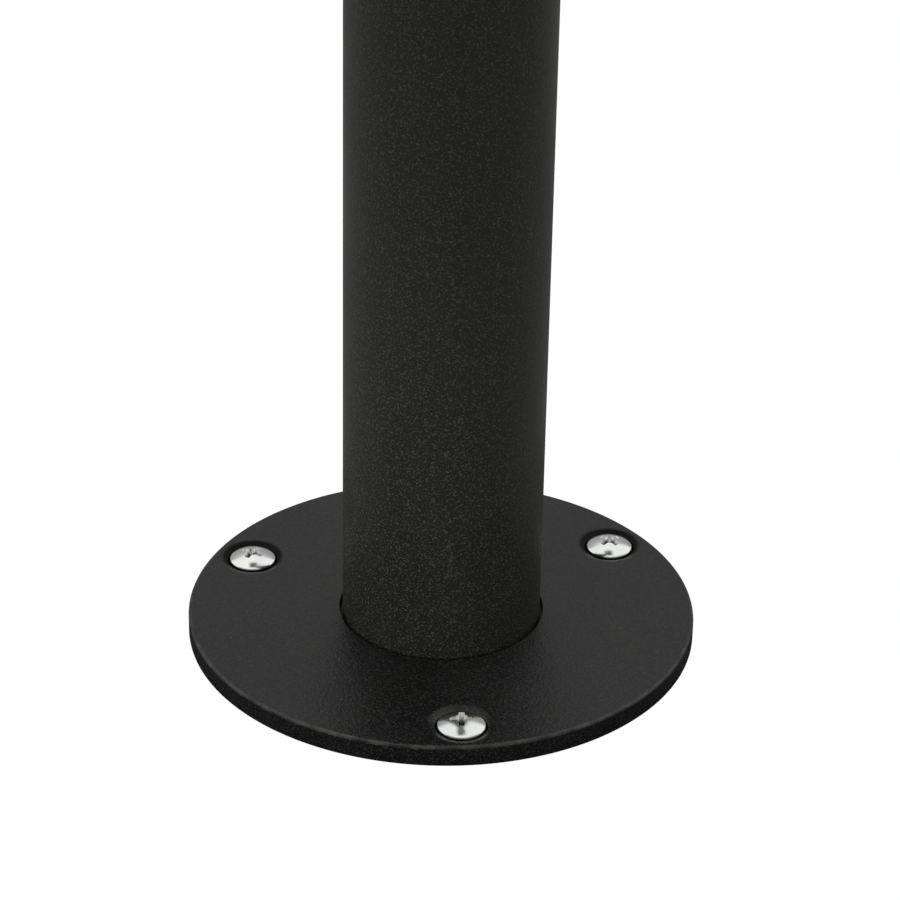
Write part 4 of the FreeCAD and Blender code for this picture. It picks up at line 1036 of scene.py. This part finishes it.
# ------------------------------------------------------------------ movement frame and wheels
# Two lapped brass plates on four turned pillars, with a hex nut that clamps the whole to the dial. The
# wheels are cut from harder, brighter brass and are left unlacquered.
MOVEMENT_BRASS = simple_finish(
    "movement_brass", (0.62, 0.45, 0.19), (0.74, 0.56, 0.27), (0.24, 0.38), 1100.0, 0.25, metallic=1.0
)
WHEEL_BRASS = simple_finish(
    "wheel_brass", (0.72, 0.53, 0.24), (0.82, 0.63, 0.32), (0.16, 0.26), 1600.0, 0.12, metallic=1.0
)
NUT_BRASS = simple_finish(
    "hand_nut_brass", (0.64, 0.48, 0.22), (0.74, 0.57, 0.29), (0.12, 0.2), 1600.0, 0.1, metallic=1.0
)
MOVEMENT_PLATES = on_both_doors("movement_front_plate", "movement_back_plate")
soften_nodes("movement_brass", MOVEMENT_BRASS, 0.2 * MM, *MOVEMENT_PLATES)
soften_nodes("movement_brass", MOVEMENT_BRASS, 0.3 * MM, *on_both_doors("fixing_nut"))
soften_nodes("movement_brass", MOVEMENT_BRASS, 0.2 * MM, *on_both_doors("movement_pillars"))
finish_nodes(WHEEL_BRASS, *on_both_doors("minute_arbor", "motor_pinion", "motion_wheel", "hour_wheel"))
finish_nodes(NUT_BRASS, *on_both_doors("hand_nut"))

# ------------------------------------------------------------------ motor, board, cell and knob
# The motor is a drawn steel can. A green board behind it carries the quartz, a black chip and a few small
# parts, and a moulded tray on it holds one cell. The knob is moulded from the same black plastic.
CAN_STEEL = simple_finish(
    "motor_can_steel", (0.52, 0.52, 0.53), (0.64, 0.64, 0.65), (0.2, 0.34), metallic=1.0
)
BLACK_PLASTIC = simple_finish(
    "black_plastic", (0.022, 0.022, 0.022), (0.034, 0.034, 0.034), (0.42, 0.56), 1300.0, 0.6
)
CELL_SLEEVE = simple_finish(
    "battery_jacket", (0.06, 0.14, 0.30), (0.09, 0.19, 0.37), (0.16, 0.26), relief=0.08
)
GREEN_BOARD = simple_finish("green_board", (0.012, 0.10, 0.045), (0.02, 0.15, 0.06), (0.2, 0.3), 650.0, 0.15)
soften_nodes("motor_can_steel", CAN_STEEL, 0.25 * MM, *on_both_doors("motor"))
soften_nodes("green_board", GREEN_BOARD, 0.12 * MM, *on_both_doors("driver_board"))
soften_nodes("black_plastic", BLACK_PLASTIC, 0.4 * MM, *on_both_doors("battery_holder"))
soften_nodes("black_plastic", BLACK_PLASTIC, 0.3 * MM, *on_both_doors("set_knob"))
soften_nodes("battery_jacket", CELL_SLEEVE, 0.5 * MM, *on_both_doors("battery"))
BOARD_BACK = -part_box("front_driver_board")[1].y
BOARD_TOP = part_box("front_driver_board")[1].z
BOARD_PARTS = [
    ("driver_chip", -4, 26, 7, 5, 1.2, "black_plastic", BLACK_PLASTIC),
    ("quartz_can", 16, 24, 3, 7, 1.1, "motor_can_steel", CAN_STEEL),
    ("reset_key", -22, 22, 4, 4, 1.3, "white_plastic", WHITE_PLASTIC),
    ("capacitor_1", 8, 34, 2.0, 1.2, 0.8, "white_plastic", WHITE_PLASTIC),
    ("capacitor_2", 8, 38, 2.0, 1.2, 0.8, "white_plastic", WHITE_PLASTIC),
    ("resistor_1", -16, 32, 2.0, 1.2, 0.6, "black_plastic", BLACK_PLASTIC),
    ("resistor_2", -16, 35, 2.0, 1.2, 0.6, "black_plastic", BLACK_PLASTIC),
    ("resistor_3", -16, 38, 2.0, 1.2, 0.6, "black_plastic", BLACK_PLASTIC),
]
for label, x, drop, half_wide, half_high, deep, slot_name, material in BOARD_PARTS:
    part = rounded_block(
        label,
        ((x - half_wide / 2) * MM, -BOARD_BACK - 0.05 * MM, BOARD_TOP - (drop + half_high) * MM),
        ((x + half_wide / 2) * MM, -BOARD_BACK + deep * MM, BOARD_TOP - (drop - half_high) * MM),
        0.25 * MM,
        3,
    )
    smooth(part, 40)
    fit_both_doors(part, label, "door", slot_name, material)

# ------------------------------------------------------------------ hands
# The hands are stamped from 1 mm aluminium, bevelled by the stamping and painted satin black. A small
# polished nut holds the minute hand.
soften_nodes("hand_paint", HAND_PAINT, 0.28 * MM, *on_both_doors("hour_hand", "minute_hand"))
